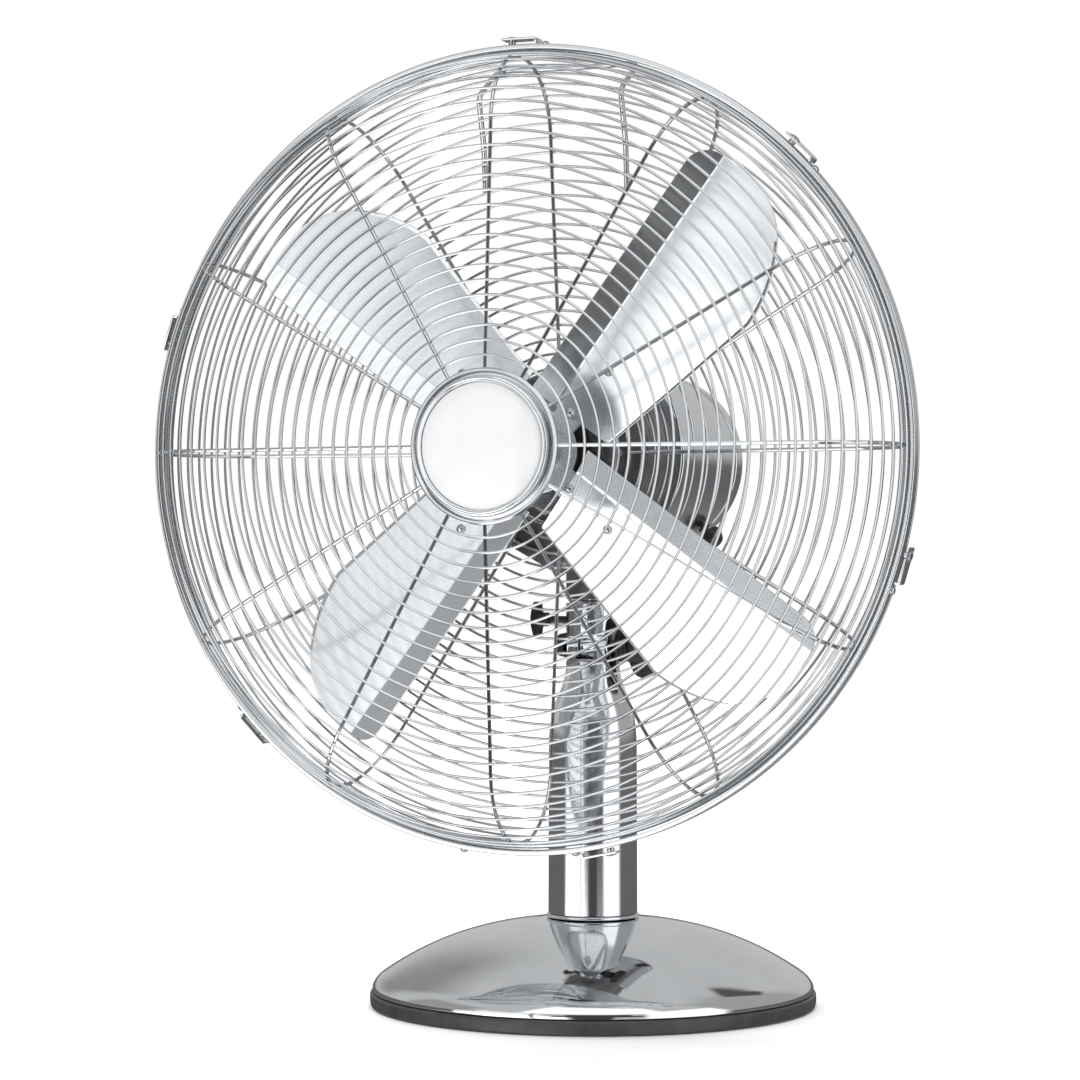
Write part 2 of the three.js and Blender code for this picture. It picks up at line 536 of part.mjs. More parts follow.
function blade() {
  const alongs = [28, 55, 90, 128, 150, 168, 181, 189, 193.5, 195];
  const acrosses = alongs.map((along) => {
    const [lead, strip] = [leadEdge(along), stripEdge(along)];
    return [lead, lead * 0.7, lead * 0.35, 0, strip * 0.5, strip];
  });
  const columns = acrosses[0].length;
  const vertices = [];
  [-SHEET / 2, SHEET / 2].forEach((side) => {
    alongs.forEach((along, i) => acrosses[i].forEach((across) => {
      vertices.push(along, BLADE_Y - bladeRise(across) + side, across + BLADE_FOLD_OFFSET);
    }));
  });
  const layer = alongs.length * columns;
  const index = [];
  const quad = (a, b, c, d) => index.push(a, b, c, a, c, d);
  for (let i = 0; i < alongs.length - 1; i += 1) {
    for (let j = 0; j < columns - 1; j += 1) {
      const a = i * columns + j;
      quad(a, a + 1, a + columns + 1, a + columns);
      quad(layer + a, layer + a + columns, layer + a + columns + 1, layer + a + 1);
    }
    const [low, high] = [i * columns, i * columns + columns - 1];
    quad(low, low + columns, layer + low + columns, layer + low);
    quad(high, layer + high, layer + high + columns, high + columns);
  }
  const last = (alongs.length - 1) * columns;
  for (let j = 0; j < columns - 1; j += 1) {
    quad(j, layer + j, layer + j + 1, j + 1);
    quad(last + j, last + j + 1, layer + last + j + 1, layer + last + j);
  }
  const geometry = new THREE.BufferGeometry();
  geometry.setAttribute('position', new THREE.Float32BufferAttribute(vertices, 3));
  geometry.setIndex(index);
  return geometry;
}

function bladeSpider() {
  const hub = disc('y', BLADE_Y + 3.2, BLADE_Y + 5.4, 24, 0, 24);
  const boss = disc('y', BLADE_Y + 5, -68, 10);
  const arm = box([10, BLADE_Y + 3.2, -8], [70, BLADE_Y + 5.4, 8]);
  const arms = Array.from({ length: BLADE_COUNT }, (_, i) =>
    arm.clone().rotateY(-rad(SPIDER_ANGLE + i * 360 / BLADE_COUNT)));
  return cut(join(hub, boss, ...arms), disc('y', -120, -60, SHAFT_R + GAP));
}

function addBlades() {
  add(head, 'blade_spider', bladeSpider(), steel);
  const nut = turned('y', [[0, -117], [5, -116], [8, -112], [8, BLADE_Y + 2.9], [0, BLADE_Y + 2.9]], 12);
  add(head, 'hub_nut', cut(nut, disc('y', -112.4, -90, SHAFT_R + GAP)), chrome);
  for (let i = 0; i < BLADE_COUNT; i += 1) {
    const turn = BLADE_FOLD_ANGLE + i * 360 / BLADE_COUNT;
    add(head, `fan_blade_${i + 1}`, blade(), bladeMetal, turn);
  }
}

addBase();
addColumn();
addSwivel();
addOscillationDrive();
addMotor();
addGuards();
addBlades();

export default fan;
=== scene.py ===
# Chrome desk fan: fine surfaces, finishes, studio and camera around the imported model.
# Shapes are worked out in millimetres in the frame's own axes: +Z up, air blows to -Y.
import json
from math import atan2, cos, hypot, pi, radians, sin, sqrt

import bmesh
import bpy
from mathutils import Matrix, Vector

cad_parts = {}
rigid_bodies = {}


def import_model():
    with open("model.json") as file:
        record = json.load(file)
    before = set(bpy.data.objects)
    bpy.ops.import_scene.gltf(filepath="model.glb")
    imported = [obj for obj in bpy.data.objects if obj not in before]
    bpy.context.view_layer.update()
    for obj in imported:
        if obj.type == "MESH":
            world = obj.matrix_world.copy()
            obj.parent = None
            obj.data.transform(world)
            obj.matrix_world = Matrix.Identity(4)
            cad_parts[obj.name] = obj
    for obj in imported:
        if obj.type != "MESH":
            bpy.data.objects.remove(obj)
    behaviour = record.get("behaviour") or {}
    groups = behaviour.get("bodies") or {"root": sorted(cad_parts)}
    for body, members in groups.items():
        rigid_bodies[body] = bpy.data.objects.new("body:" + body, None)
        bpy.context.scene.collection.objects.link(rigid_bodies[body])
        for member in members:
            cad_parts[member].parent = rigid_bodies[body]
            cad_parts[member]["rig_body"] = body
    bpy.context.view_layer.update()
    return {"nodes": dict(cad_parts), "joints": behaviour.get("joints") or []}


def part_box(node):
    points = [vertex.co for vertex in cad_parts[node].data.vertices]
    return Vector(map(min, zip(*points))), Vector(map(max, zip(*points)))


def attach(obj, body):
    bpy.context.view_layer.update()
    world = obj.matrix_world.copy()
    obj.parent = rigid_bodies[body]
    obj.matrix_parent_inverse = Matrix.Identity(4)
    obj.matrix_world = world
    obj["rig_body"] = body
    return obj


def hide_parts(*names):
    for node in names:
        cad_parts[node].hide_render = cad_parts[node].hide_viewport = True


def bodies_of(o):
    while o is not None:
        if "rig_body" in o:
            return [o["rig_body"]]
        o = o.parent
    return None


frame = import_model()

# ---- Driving dimensions, in mm ----
MM = 0.001
ROUND = 96  # facets round a turned piece
TOUCH = 1e-6  # closer than this is one point
JOINTS = {joint["name"]: Vector(joint["pos_m"]) / MM
          for joint in frame["joints"] if "pos_m" in joint}  # a point on each joint's axis
HEAD = JOINTS["blade_spin"]  # a point on the fan axis
TILT = JOINTS["tilt"]
SHEET = 1.2  # drawn sheet metal
NECK_R = 15.7

GUARD_R = 219  # centre of the rim wires
SHOULDER_R = 45  # rounding between guard face and rim
FACE_EDGE = GUARD_R - SHOULDER_R
HUB_RING_R = 41
GUARD_GAPS = 25  # spaces between the rings, hub ring to rim
RING_WIRE = 0.76  # wire radii
RIB_WIRE = 1.1
RIM_WIRE = 1.5
RIB_COUNT = 12
CLIP_ANGLES = (90, 45, -16.5, -78, -136, 162)  # round the fan axis, from +X towards +Z
SPARE_RIVET_ANGLE = -98.6  # band rivet with no clip beside it

BLADE_COUNT = 4
BLADE_FOLD_ANGLE = 53.6  # first blade's fold line
BLADE_FOLD_OFFSET = 5.2  # from the fan axis
BLADE_TIP = 195  # along the fold line
SPIDER_ANGLE = 44.5  # first arm
RIVET_RADII = (30, 62)

SWITCH_ANGLE = -50  # speed knob, round the fan axis


def span(node, axis):
    """Lowest and highest coordinate of a CAD node along x, y or z, in mm."""
    low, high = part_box(node)
    index = "xyz".index(axis)
    return low[index] / MM, high[index] / MM


# ---- Shape helpers: every shape is a bmesh in mm ----
AXIS_TURN = {
    "x": Matrix.Rotation(radians(90), 4, "Y"),
    "y": Matrix.Rotation(radians(-90), 4, "X"),
    "z": Matrix.Identity(4),
}


def rounded(corners, steps=5):
    """Outline with rounded corners: a corner's third value is how far its curve reaches."""
    outline = []
    for i, corner in enumerate(corners):
        here = Vector(corner[:2])
        if len(corner) < 3 or corner[2] == 0:
            outline.append(here)
            continue
        before = Vector(corners[i - 1][:2])
        after = Vector(corners[(i + 1) % len(corners)][:2])
        start = here + (before - here).normalized() * corner[2]
        end = here + (after - here).normalized() * corner[2]
        for step in range(steps + 1):
            t = step / steps
            outline.append((1 - t) ** 2 * start + 2 * t * (1 - t) * here + t ** 2 * end)
    return outline


def ringed(corners, steps=5):
    """The same for the section of a ring, which closes on itself."""
    outline = rounded(corners, steps)
    return outline + outline[:1]


def turned(axis, outline, centre=(0, 0, 0), facets=ROUND):
    """Solid turned about an axis from (radius, station) points; a closed outline is a ring."""
    shape = bmesh.new()
    ring = (Vector(outline[0]) - Vector(outline[-1])).length < TOUCH
    rows = []
    for radius, station in outline[:-1] if ring else outline:
        count = facets if radius > TOUCH else 1
        turns = [2 * pi * i / count for i in range(count)]
        rows.append([shape.verts.new((radius * cos(t), radius * sin(t), station))
                     for t in turns])
    for lower, upper in zip(rows, rows[1:] + (rows[:1] if ring else [])):
        for i in range(facets):
            j = (i + 1) % facets
            corners = (lower[i % len(lower)], lower[j % len(lower)],
                       upper[j % len(upper)], upper[i % len(upper)])
            distinct = list(dict.fromkeys(corners))
            if len(distinct) > 2:
                shape.faces.new(distinct)
    shape.transform(Matrix.Translation(centre) @ AXIS_TURN[axis])
    return shape


def disc(axis, start, end, radius, bore=0, edge=0.4, centre=(0, 0, 0), facets=ROUND):
    """Disc or ring with eased outer edges."""
    section = ringed if bore else rounded
    outline = section([(bore, start), (radius, start, edge), (radius, end, edge), (bore, end)])
    return turned(axis, outline, centre, facets)


def pushed(axis, outline, start, end):
    """Outline pushed along an axis; its points hold the other two coordinates, in xyz order."""
    shape = bmesh.new()
    index = "xyz".index(axis)
    layers = []
    for station in (start, end):
        points = [list(point[:2]) for point in outline]
        for point in points:
            point.insert(index, station)
        layers.append([shape.verts.new(point) for point in points])
    count = len(outline)
    shape.faces.new(layers[0])
    shape.faces.new(list(reversed(layers[1])))
    for i in range(count):
        j = (i + 1) % count
        shape.faces.new((layers[0][i], layers[1][i], layers[1][j], layers[0][j]))
    return shape


def block(low, high):
    (x0, y0, z0), (x1, y1, z1) = low, high
    return pushed("z", [(x0, y0), (x1, y0), (x1, y1), (x0, y1)], z0, z1)


def tube(points, radius, sides):
    """Round wire along a path, with flat ends."""
    shape = bmesh.new()
    path = [Vector(point) for point in points]
    heading = (path[1] - path[0]).normalized()
    side = heading.orthogonal().normalized()
    rows = []
    for i, point in enumerate(path):
        ahead = path[min(i + 1, len(path) - 1)] - path[max(i - 1, 0)]
        side = (side - ahead * side.dot(ahead) / ahead.length_squared).normalized()
        up = ahead.normalized().cross(side)
        turns = [2 * pi * k / sides for k in range(sides)]
        rows.append([shape.verts.new(point + radius * (cos(t) * side + sin(t) * up))
                     for t in turns])
    for lower, upper in zip(rows, rows[1:]):
        for k in range(sides):
            shape.faces.new((lower[k], lower[(k + 1) % sides], upper[(k + 1) % sides], upper[k]))
    shape.faces.new(list(reversed(rows[0])))
    shape.faces.new(rows[-1])
    return shape


def smooth_path(knots, steps=8):
    """Points on a Catmull-Rom curve through the knots."""
    ends = [2 * Vector(knots[0]) - Vector(knots[1]), 2 * Vector(knots[-1]) - Vector(knots[-2])]
    guide = [ends[0]] + [Vector(knot) for knot in knots] + [ends[1]]
    path = []
    for a, b, c, d in zip(guide, guide[1:], guide[2:], guide[3:]):
        for step in range(steps):
            t = step / steps
            path.append(0.5 * (2 * b + (c - a) * t + (2 * a - 5 * b + 4 * c - d) * t ** 2
                               + (3 * b - a - 3 * c + d) * t ** 3))
    return path + [guide[-2]]


def turned_by(shape, angle, axis="Y"):
    """The same shape turned about an axis through the origin; Y turns run from +X to +Z."""
    shape.transform(Matrix.Rotation(radians(-angle if axis == "Y" else angle), 4, axis))
    return shape


def moved(shape, offset):
    shape.transform(Matrix.Translation(offset))
    return shape


def around(count, make, start=0, axis="Y", centre=HEAD):
    """Copies of a shape made at the origin, evenly turned about an axis and set at the centre."""
    return [moved(turned_by(make(), start + i * 360 / count, axis), centre) for i in range(count)]


def meshed(name, shape):
    """The shape as a Blender mesh; the shape itself is used up."""
    mesh = bpy.data.meshes.new(name)
    shape.to_mesh(mesh)
    shape.free()
    return mesh


def placed(name, data):
    """A new object in the scene."""
    made = bpy.data.objects.new(name, data)
    bpy.context.scene.collection.objects.link(made)
    return made


def together(*shapes):
    """Several shapes as one, each keeping its own closed surface."""
    whole = bmesh.new()
    for shape in shapes:
        mesh = meshed("shape", shape)
        whole.from_mesh(mesh)
        bpy.data.meshes.remove(mesh)
    return whole


def boolean(body, tools, operation):
    """Joins the tools to the body with UNION, or cuts them from it with DIFFERENCE."""
    base, *holders = [placed("boolean", meshed("boolean", face_out(shape))) for shape in (body, *tools)]
    for holder in holders:
        step = base.modifiers.new("step", "BOOLEAN")
        step.operation = operation
        step.solver = "MANIFOLD"
        step.object = holder
    result = bmesh.new()
    result.from_object(base, bpy.context.evaluated_depsgraph_get())
    for holder in (base, *holders):
        mesh = holder.data
        bpy.data.objects.remove(holder)
        bpy.data.meshes.remove(mesh)
    return result


def cut(body, *tools):
    return boolean(body, tools, "DIFFERENCE")


def joined(body, *tools):
    return boolean(body, tools, "UNION")


def eased(shape, width, angle=30, segments=2):
    """The same shape with its sharp edges bevelled."""
    bmesh.ops.remove_doubles(shape, verts=shape.verts, dist=1e-3)
    bmesh.ops.dissolve_degenerate(shape, edges=shape.edges, dist=1e-3)
    limit = radians(angle)
    sharp = [edge for edge in shape.edges
             if len(edge.link_faces) == 2 and edge.calc_face_angle(0) > limit]
    bmesh.ops.bevel(shape, geom=sharp, offset=width, offset_type="OFFSET", segments=segments,
                    profile=0.5, affect="EDGES", clamp_overlap=True)
    return shape


def face_out(shape):
    """Turns every face of a closed shape outwards."""
    bmesh.ops.recalc_face_normals(shape, faces=shape.faces)
    if shape.calc_volume(signed=True) < 0:
        bmesh.ops.reverse_faces(shape, faces=shape.faces)
    return shape


CAD_SLOTS = {node: carried.data.materials[0].name for node, carried in frame["nodes"].items()}


def body_of(node):
    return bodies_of(frame["nodes"][node])[0]


def piece(name, shape, like, material, place=None, sharp=35):
    """A finished piece that rides on the body of a CAD node."""
    face_out(shape)
    shape.transform(Matrix.Diagonal((MM, MM, MM, 1)))
    mesh = meshed(name, shape)
    mesh.shade_smooth()
    mesh.set_sharp_from_angle(angle=radians(sharp))
    mesh.materials.append(material)
    made = placed(name, mesh)
    if place is not None:
        made.matrix_world = place
    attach(made, body_of(like))
    return made


def stand_in(node, shape, material=None, place=None, sharp=35):
    """A fine piece that is shown instead of its CAD node."""
    made = piece(f"{node}_fine", shape, node, material or FINISHES[CAD_SLOTS[node]], place, sharp)
    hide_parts(node)
    return made


# ---- Finishes ----
def principled(name, colour, metallic, roughness):
    material = bpy.data.materials.new(name)
    material.use_nodes = True
    shader = material.node_tree.nodes["Principled BSDF"]
    shader.inputs["Base Color"].default_value = (*colour, 1)
    shader.inputs["Metallic"].default_value = metallic
    shader.inputs["Roughness"].default_value = roughness
    return material, shader


def noise(material, scale, detail=4, stretch=(1, 1, 1)):
    """Noise over the object's own coordinates; scale is in features per metre."""
    tree = material.node_tree
    place = tree.nodes.new("ShaderNodeTexCoord")
    mapping = tree.nodes.new("ShaderNodeMapping")
    mapping.inputs["Scale"].default_value = stretch
    texture = tree.nodes.new("ShaderNodeTexNoise")
    texture.inputs["Scale"].default_value = scale
    texture.inputs["Detail"].default_value = detail
    tree.links.new(place.outputs["Object"], mapping.inputs["Vector"])
    tree.links.new(mapping.outputs["Vector"], texture.inputs["Vector"])
    return texture.outputs["Fac"]


def vary(material, shader, socket, source, low, high):
    """Lets a number on the shader drift between two values."""
    spread = material.node_tree.nodes.new("ShaderNodeMapRange")
    for end, value in {"From Min": 0.3, "From Max": 0.7, "To Min": low, "To Max": high}.items():
        spread.inputs[end].default_value = value
    material.node_tree.links.new(source, spread.inputs["Value"])
    material.node_tree.links.new(spread.outputs["Result"], shader.inputs[socket])


def tint(material, shader, source, dark, light):
    """Lets the colour drift between two tones."""
    ramp = material.node_tree.nodes.new("ShaderNodeValToRGB")
    for element, position, colour in zip(ramp.color_ramp.elements, (0.35, 0.65), (dark, light)):
        element.position = position
        element.color = (*colour, 1)
    material.node_tree.links.new(source, ramp.inputs["Fac"])
    material.node_tree.links.new(ramp.outputs["Color"], shader.inputs["Base Color"])


def bump(material, shader, source, distance):
    """Surface relief of the given height, in metres."""
    relief = material.node_tree.nodes.new("ShaderNodeBump")
    relief.inputs["Distance"].default_value = distance
    material.node_tree.links.new(source, relief.inputs["Height"])
    material.node_tree.links.new(relief.outputs["Normal"], shader.inputs["Normal"])


def grey(value, cool=0.015):
    """A neutral tone with a slightly cool cast."""
    return (value * (1 - cool), value, value * (1 + cool))


def chrome(name="polished_chrome", low=0.03, high=0.07, tone=0.8, ripple=0.00002):
    """Bright plating with faint wiping marks and the slightest orange peel."""
    material, shader = principled(name, grey(tone), 1, low)
    tint(material, shader, noise(material, 35), grey(tone - 0.03), grey(tone + 0.03))
    vary(material, shader, "Roughness", noise(material, 60, 6, (1, 1, 3)), low, high)
    bump(material, shader, noise(material, 45, 1), ripple)
    return material


def satin(name="satin_steel", tone=0.72, low=0.2, high=0.28):
    """Rolled steel sheet with a fine directional grain."""
    material, shader = principled(name, grey(tone), 1, low)
    grain = noise(material, 900, 3, (1, 0.05, 1))
    tint(material, shader, noise(material, 40), grey(tone * 0.97), grey(tone * 1.03))
    vary(material, shader, "Roughness", grain, low, high)
    bump(material, shader, grain, 0.000004)
    return material


def brushed_blade():
    """Satin lacquered aluminium, brushed along the blade."""
    material, shader = principled("blade_metal", grey(0.88), 0.95, 0.2)
    shader.inputs["Coat Weight"].default_value = 0.15
    shader.inputs["Coat Roughness"].default_value = 0.12
    grain = noise(material, 1400, 2, (0.03, 1, 1))
    tint(material, shader, noise(material, 18, 2), grey(0.88), grey(0.92))
    vary(material, shader, "Roughness", grain, 0.13, 0.16)
    bump(material, shader, grain, 0.0000008)
    return material


def cast(name, tone, roughness):
    """Painted casting with a fine pebbled skin."""
    material, shader = principled(name, grey(tone), 0.55, roughness)
    pebble = noise(material, 1500, 3)
    tint(material, shader, noise(material, 55), grey(tone * 0.8), grey(tone * 1.25))
    vary(material, shader, "Roughness", pebble, roughness * 0.85, roughness * 1.2)
    bump(material, shader, pebble, 0.00006)
    return material


def plastic(name, tone, roughness, grain_height):
    """Moulded plastic or rubber with a spark-eroded grain."""
    material, shader = principled(name, grey(tone), 0, roughness)
    grain = noise(material, 2400, 2)
    tint(material, shader, noise(material, 90), grey(tone * 0.8), grey(tone * 1.2))
    vary(material, shader, "Roughness", grain, roughness * 0.85, roughness * 1.15)
    bump(material, shader, grain, grain_height)
    return material


def enamel():
    """Glossy white face of the badge, left blank."""
    material, shader = principled("badge_white", grey(0.82, 0.005), 0, 0.18)
    shader.inputs["Coat Weight"].default_value = 1
    shader.inputs["Coat Roughness"].default_value = 0.04
    tint(material, shader, noise(material, 60), grey(0.81, 0.005), grey(0.84, 0.005))
    bump(material, shader, noise(material, 400, 2), 0.000008)
    return material


def winding():
    """Lacquered copper wire, wound round the fan axis."""
    material, shader = principled("copper", (0.72, 0.32, 0.14), 0.9, 0.35)
    strands = noise(material, 1700, 1, (1, 0.2, 1))
    tint(material, shader, strands, (0.45, 0.17, 0.07), (0.83, 0.42, 0.2))
    bump(material, shader, strands, 0.0004)
    return material


def coloured_metal(name, dark, light, roughness):
    """Turned bronze or steel with a machined lustre."""
    material, shader = principled(name, light, 1, roughness)
    marks = noise(material, 700, 3, (1, 0.15, 1))
    tint(material, shader, marks, dark, light)
    vary(material, shader, "Roughness", marks, roughness * 0.8, roughness * 1.25)
    return material


FINISHES = {
    "chrome": chrome(),
    "satin_steel": satin(),
    "steel": coloured_metal("steel", grey(0.3), grey(0.46), 0.32),
    "blade_metal": brushed_blade(),
    "cast_iron": cast("cast_iron", 0.09, 0.6),
    "cast_dark": cast("cast_dark", 0.17, 0.38),
    "black_plastic": plastic("black_plastic", 0.016, 0.36, 0.00002),
    "rubber": plastic("rubber", 0.022, 0.75, 0.00006),
    "copper": winding(),
    "bronze": coloured_metal("bronze", (0.32, 0.2, 0.07), (0.5, 0.34, 0.13), 0.35),
    "nylon": plastic("nylon", 0.72, 0.42, 0.00001),
    "badge_white": enamel(),
}
WIRE_CHROME = chrome("wire_chrome", 0.12, 0.18, 0.62)
COLUMN_CHROME = chrome("column_chrome", 0.11, 0.13, 0.8, 0.000003)
MOTOR_CHROME = chrome("motor_chrome", 0.15, 0.2, 0.76)
BAND_STEEL = satin("band_steel", 0.74, 0.22, 0.28)
CLIP_STEEL = satin("clip_steel", 0.7, 0.16, 0.22)
SCREW_STEEL = coloured_metal("screw_steel", grey(0.42), grey(0.62), 0.2)


# ---- Stand ----
def build_base():
    trim_low, trim_top = span("base_trim_ring", "z")
    edge_r = span("base_trim_ring", "x")[1]
    dome_low, dome_top = span("base_dome", "z")
    dome_edge = span("base_dome", "x")[1]
    lip_rise, lip_width = 4.8, 5.6
    rise = 37.7  # from the top of the lip to the crown
    power = 2.6
    bore = 7.5
    seat_r = 27.6  # raised seat of the column
    lip_start = dome_edge - lip_width

    def height(radius):
        z = dome_low + lip_rise + rise * (1 - (radius / edge_r) ** power)
        roll = max(0, radius - lip_start) / lip_width
        z -= (lip_rise - 1) * (1 - sqrt(1 - min(1, roll) ** 2))
        return dome_top if radius < seat_r else z

    steps = 64
    radii = [bore, seat_r - 0.2]
    radii += [seat_r + (lip_start - seat_r) * (i / steps) ** 0.7 for i in range(1, steps + 1)]
    radii += [lip_start + lip_width * sin(pi / 2 * i / 12) for i in range(1, 12)]
    outside = [(radius, height(radius)) for radius in radii]
    inside = [(radius, z - SHEET) for radius, z in reversed(outside[:-7])]
    lip = [(dome_edge, dome_low + 0.9), (dome_edge - 0.1, dome_low + 0.4), (dome_edge - 0.7, dome_low),
           (dome_edge - 2.6, dome_low), (dome_edge - 3, dome_low + 0.6)]
    stand_in("base_dome", turned("z", outside + lip + inside + outside[:1], facets=192), sharp=50)

    inner = edge_r - 8.4
    ring = turned("z", ringed([(inner, trim_low), (edge_r - 0.6, trim_low, 1.6),
                               (edge_r, trim_low + 4, 2.4), (edge_r - 0.2, trim_top, 1.4),
                               (inner, trim_top)]), facets=192)
    trim_black = plastic("trim_black", 0.05, 0.42, 0.00002)
    gland_low, gland_top = span("cord_gland", "z")
    notch = block((-4.4, inner - 10, gland_low - 0.4), (4.4, edge_r + 10, gland_top + 12))
    stand_in("base_trim_ring", cut(ring, notch), trim_black)

    y_in, y_out = span("cord_gland", "y")
    gland = eased(block((-4, y_in, gland_low), (4, y_out - 1.6, gland_top)), 0.8)
    collar = disc("y", y_out - 3, y_out, 2.7, 0, 0.8, (0, 0, 5.8), 32)
    stand_in("cord_gland", cut(joined(gland, collar), disc("y", 100, 150, 1.8, 0, 0, (0, 0, 5.8), 24)))

    pad_r = span("anti_slip_pad", "x")[1]
    pad_top = span("anti_slip_pad", "z")[1]
    tread = [(0, 0.5)]
    for groove in range(9):
        ridge = 22 + groove * 11
        tread += [(ridge, 0.5), (ridge + 0.5, 0), (ridge + 7.5, 0), (ridge + 8, 0.5)]
    pad = tread + [(pad_r - 1, 0.5), (pad_r, 1.2), (pad_r, pad_top), (0, pad_top)]
    stand_in("anti_slip_pad", turned("z", pad, facets=128))


def build_column():
    low, top = span("column_foot_ring", "z")
    radius = span("column_foot_ring", "x")[1]
    stand_in("column_foot_ring", disc("z", low, top, radius, 7.6, 1))

    foot, top = span("column_cover", "z")
    column_r = 26.2
    shoulder_low, shoulder_top = (column_r - 0.3, 150), (NECK_R, 199)
    pulls = ((column_r - 0.3, 181), (17.2, 181))  # handles of the shoulder's curve
    outside = [(column_r, foot + 0.3), (column_r, foot + 3)]
    for step in range(33):
        t = step / 32
        weights = ((1 - t) ** 3, 3 * t * (1 - t) ** 2, 3 * t ** 2 * (1 - t), t ** 3)
        stations = (shoulder_low, *pulls, shoulder_top)
        outside.append(tuple(sum(w * p[k] for w, p in zip(weights, stations)) for k in (0, 1)))
    outside += [(NECK_R, top - 0.4), (NECK_R - 0.4, top)]
    inside = [(r - SHEET, z) for r, z in reversed(outside[1:-1])]
    inside += [(column_r - SHEET, foot), (column_r - 0.3, foot)]
    stand_in("column_cover", turned("z", outside + inside + outside[:1], facets=128), COLUMN_CHROME,
             sharp=25)

    shoulder = TILT.z - 0.6
    lip = NECK_R - SHEET - 0.3
    root_low = span("neck_fork", "z")[0]
    root = turned("z", [(0, root_low), (lip - 1.4, root_low), (lip, top + 0.3), (NECK_R - 0.3, top + 0.3),
                        (NECK_R, top + 0.6), (NECK_R, shoulder - 0.3), (NECK_R - 0.3, shoulder),
                        (0, shoulder)])
    knuckle = disc("x", 3 - NECK_R, NECK_R - 3, 10.6, 0, 0.6, TILT)
    opening = block((-5.6, -20, TILT.z - 9.4), (5.6, 20, TILT.z + 20))
    bolt = disc("x", -20, 20, 3.3, 0, 0, TILT, 32)
    stand_in("neck_fork", cut(joined(root, knuckle), opening, bolt))

    low, high = span("support_tube", "z")
    stand_in("support_tube", disc("z", low, high, 7, 5, 0.3))
    low, high = span("tilt_bolt", "x")
    stand_in("tilt_bolt", disc("x", low, high, 3, 0, 0.5, TILT, 48))


def build_tilt_fittings():
    left, right = span("tilt_bolt_cap", "x")
    radius = span("tilt_bolt_cap", "z")[1] - TILT.z
    cap = turned("x", [(0, left + 0.7), (2.6, left + 0.7), (3, left + 0.1), (4.4, left)]
                 + rounded([(4.4, left), (6.5, left + 0.9, 1), (radius, right, 0.3)])[1:]
                 + [(0, right)], TILT, 64)
    stand_in("tilt_bolt_cap", cap)

    left, right = span("tilt_spacer", "x")
    outline = ringed([(3.3, left), (9.2, left, 0.6), (10, left + 2.2, 0.8), (7.8, (left + right) / 2, 2),
                      (10, right - 2.2, 0.8), (9.2, right, 0.6), (3.3, right)])
    stand_in("tilt_spacer", turned("x", outline, TILT, 64))

    left, right = span("tilt_knob", "x")
    radius = span("tilt_knob", "z")[1] - TILT.z
    body = turned("x", rounded([(0, left), (8, left, 1), (9.5, left + 1.6, 1.2), (17, left + 1.8, 2),
                                (radius, left + 4.5, 2), (radius, right - 4, 2), (16, right - 0.6, 1.6),
                                (12.5, right, 0.6), (11.5, right - 0.8, 0.6), (0, right - 0.8)]),
                  TILT, 144)
    scallops = []
    count = 8
    for i in range(count):
        angle = 2 * pi * (i + 0.5) / count
        centre = TILT + Vector((0, cos(angle), sin(angle))) * (radius + 4.2)
        scallops.append(disc("x", left - 2, right + 2, 6.2, 0, 0, centre, 40))
    stand_in("tilt_knob", eased(cut(body, *scallops), 0.6, 40))


def build_swivel():
    low, top = TILT.z + 6, JOINTS["oscillation"].z - 14
    barrel = disc("z", low, top, NECK_R, 0, 0.5)
    clearance = disc("x", -20, 20, 11.4, 0, 0, TILT)
    tongue = block((-5.2, -8, TILT.z), (5.2, 8, TILT.z + 14))
    eye = disc("x", -5.2, 5.2, 8.6, 0, 0.5, TILT, 64)
    bolt = disc("x", -20, 20, 3.3, 0, 0, TILT, 32)
    stub_top = span("swivel_head", "z")[1]
    stub = disc("z", top - 1, stub_top, 6, 0, 0.6)
    lock_z = JOINTS["lock_screw_turn"].z
    lock_hole = disc("x", -20, -6, 2.4, 0, 0, (0, 0, lock_z), 24)
    groove = disc("z", lock_z + 4.6, lock_z + 5.4, NECK_R + 2, NECK_R - 0.5, 0)
    head = joined(cut(barrel, clearance), tongue, eye, stub)
    stand_in("swivel_head", cut(head, bolt, lock_hole, groove))

    left = span("swivel_lock_screw", "x")[0]
    stem = disc("x", -29, span("swivel_lock_screw", "x")[1], 2.1, 0, 0.4, (0, 0, lock_z), 32)
    boss = turned("x", rounded([(0, -35), (3.6, -35), (4.2, -33.6, 0.6), (4.2, -28, 0.6), (3, -26.6, 0.6),
                                (0, -26.6)]), (0, 0, lock_z), 48)
    half = 10.5
    wing = pushed("y", [(x, lock_z + up) for x, up in rounded(
        [(left + 2, -half, 1), (left + 6, -half, 1), (left + 6.4, -4, 2), (left + 9.6, -2.6, 1.4),
         (left + 9.6, 2.6, 1.4), (left + 6.4, 4, 2), (left + 6, half, 1), (left + 2, half, 1),
         (left, 3, 3), (left, -3, 3)])], -3, 3)
    stand_in("swivel_lock_screw", together(stem, boss, eased(wing, 0.8, 30, 3)))


# ---- Oscillation drive ----
def bar(a, b, radius, start, end, steps=24):
    """Round-ended plate between two points of the XY plane."""
    along = atan2(b.y - a.y, b.x - a.x)
    outline = []
    for centre, turn in ((a, pi / 2), (b, -pi / 2)):
        for step in range(steps + 1):
            angle = along + turn + pi * step / steps
            outline.append((centre.x + radius * cos(angle), centre.y + radius * sin(angle)))
    return eased(pushed("z", outline, start, end), 0.3)


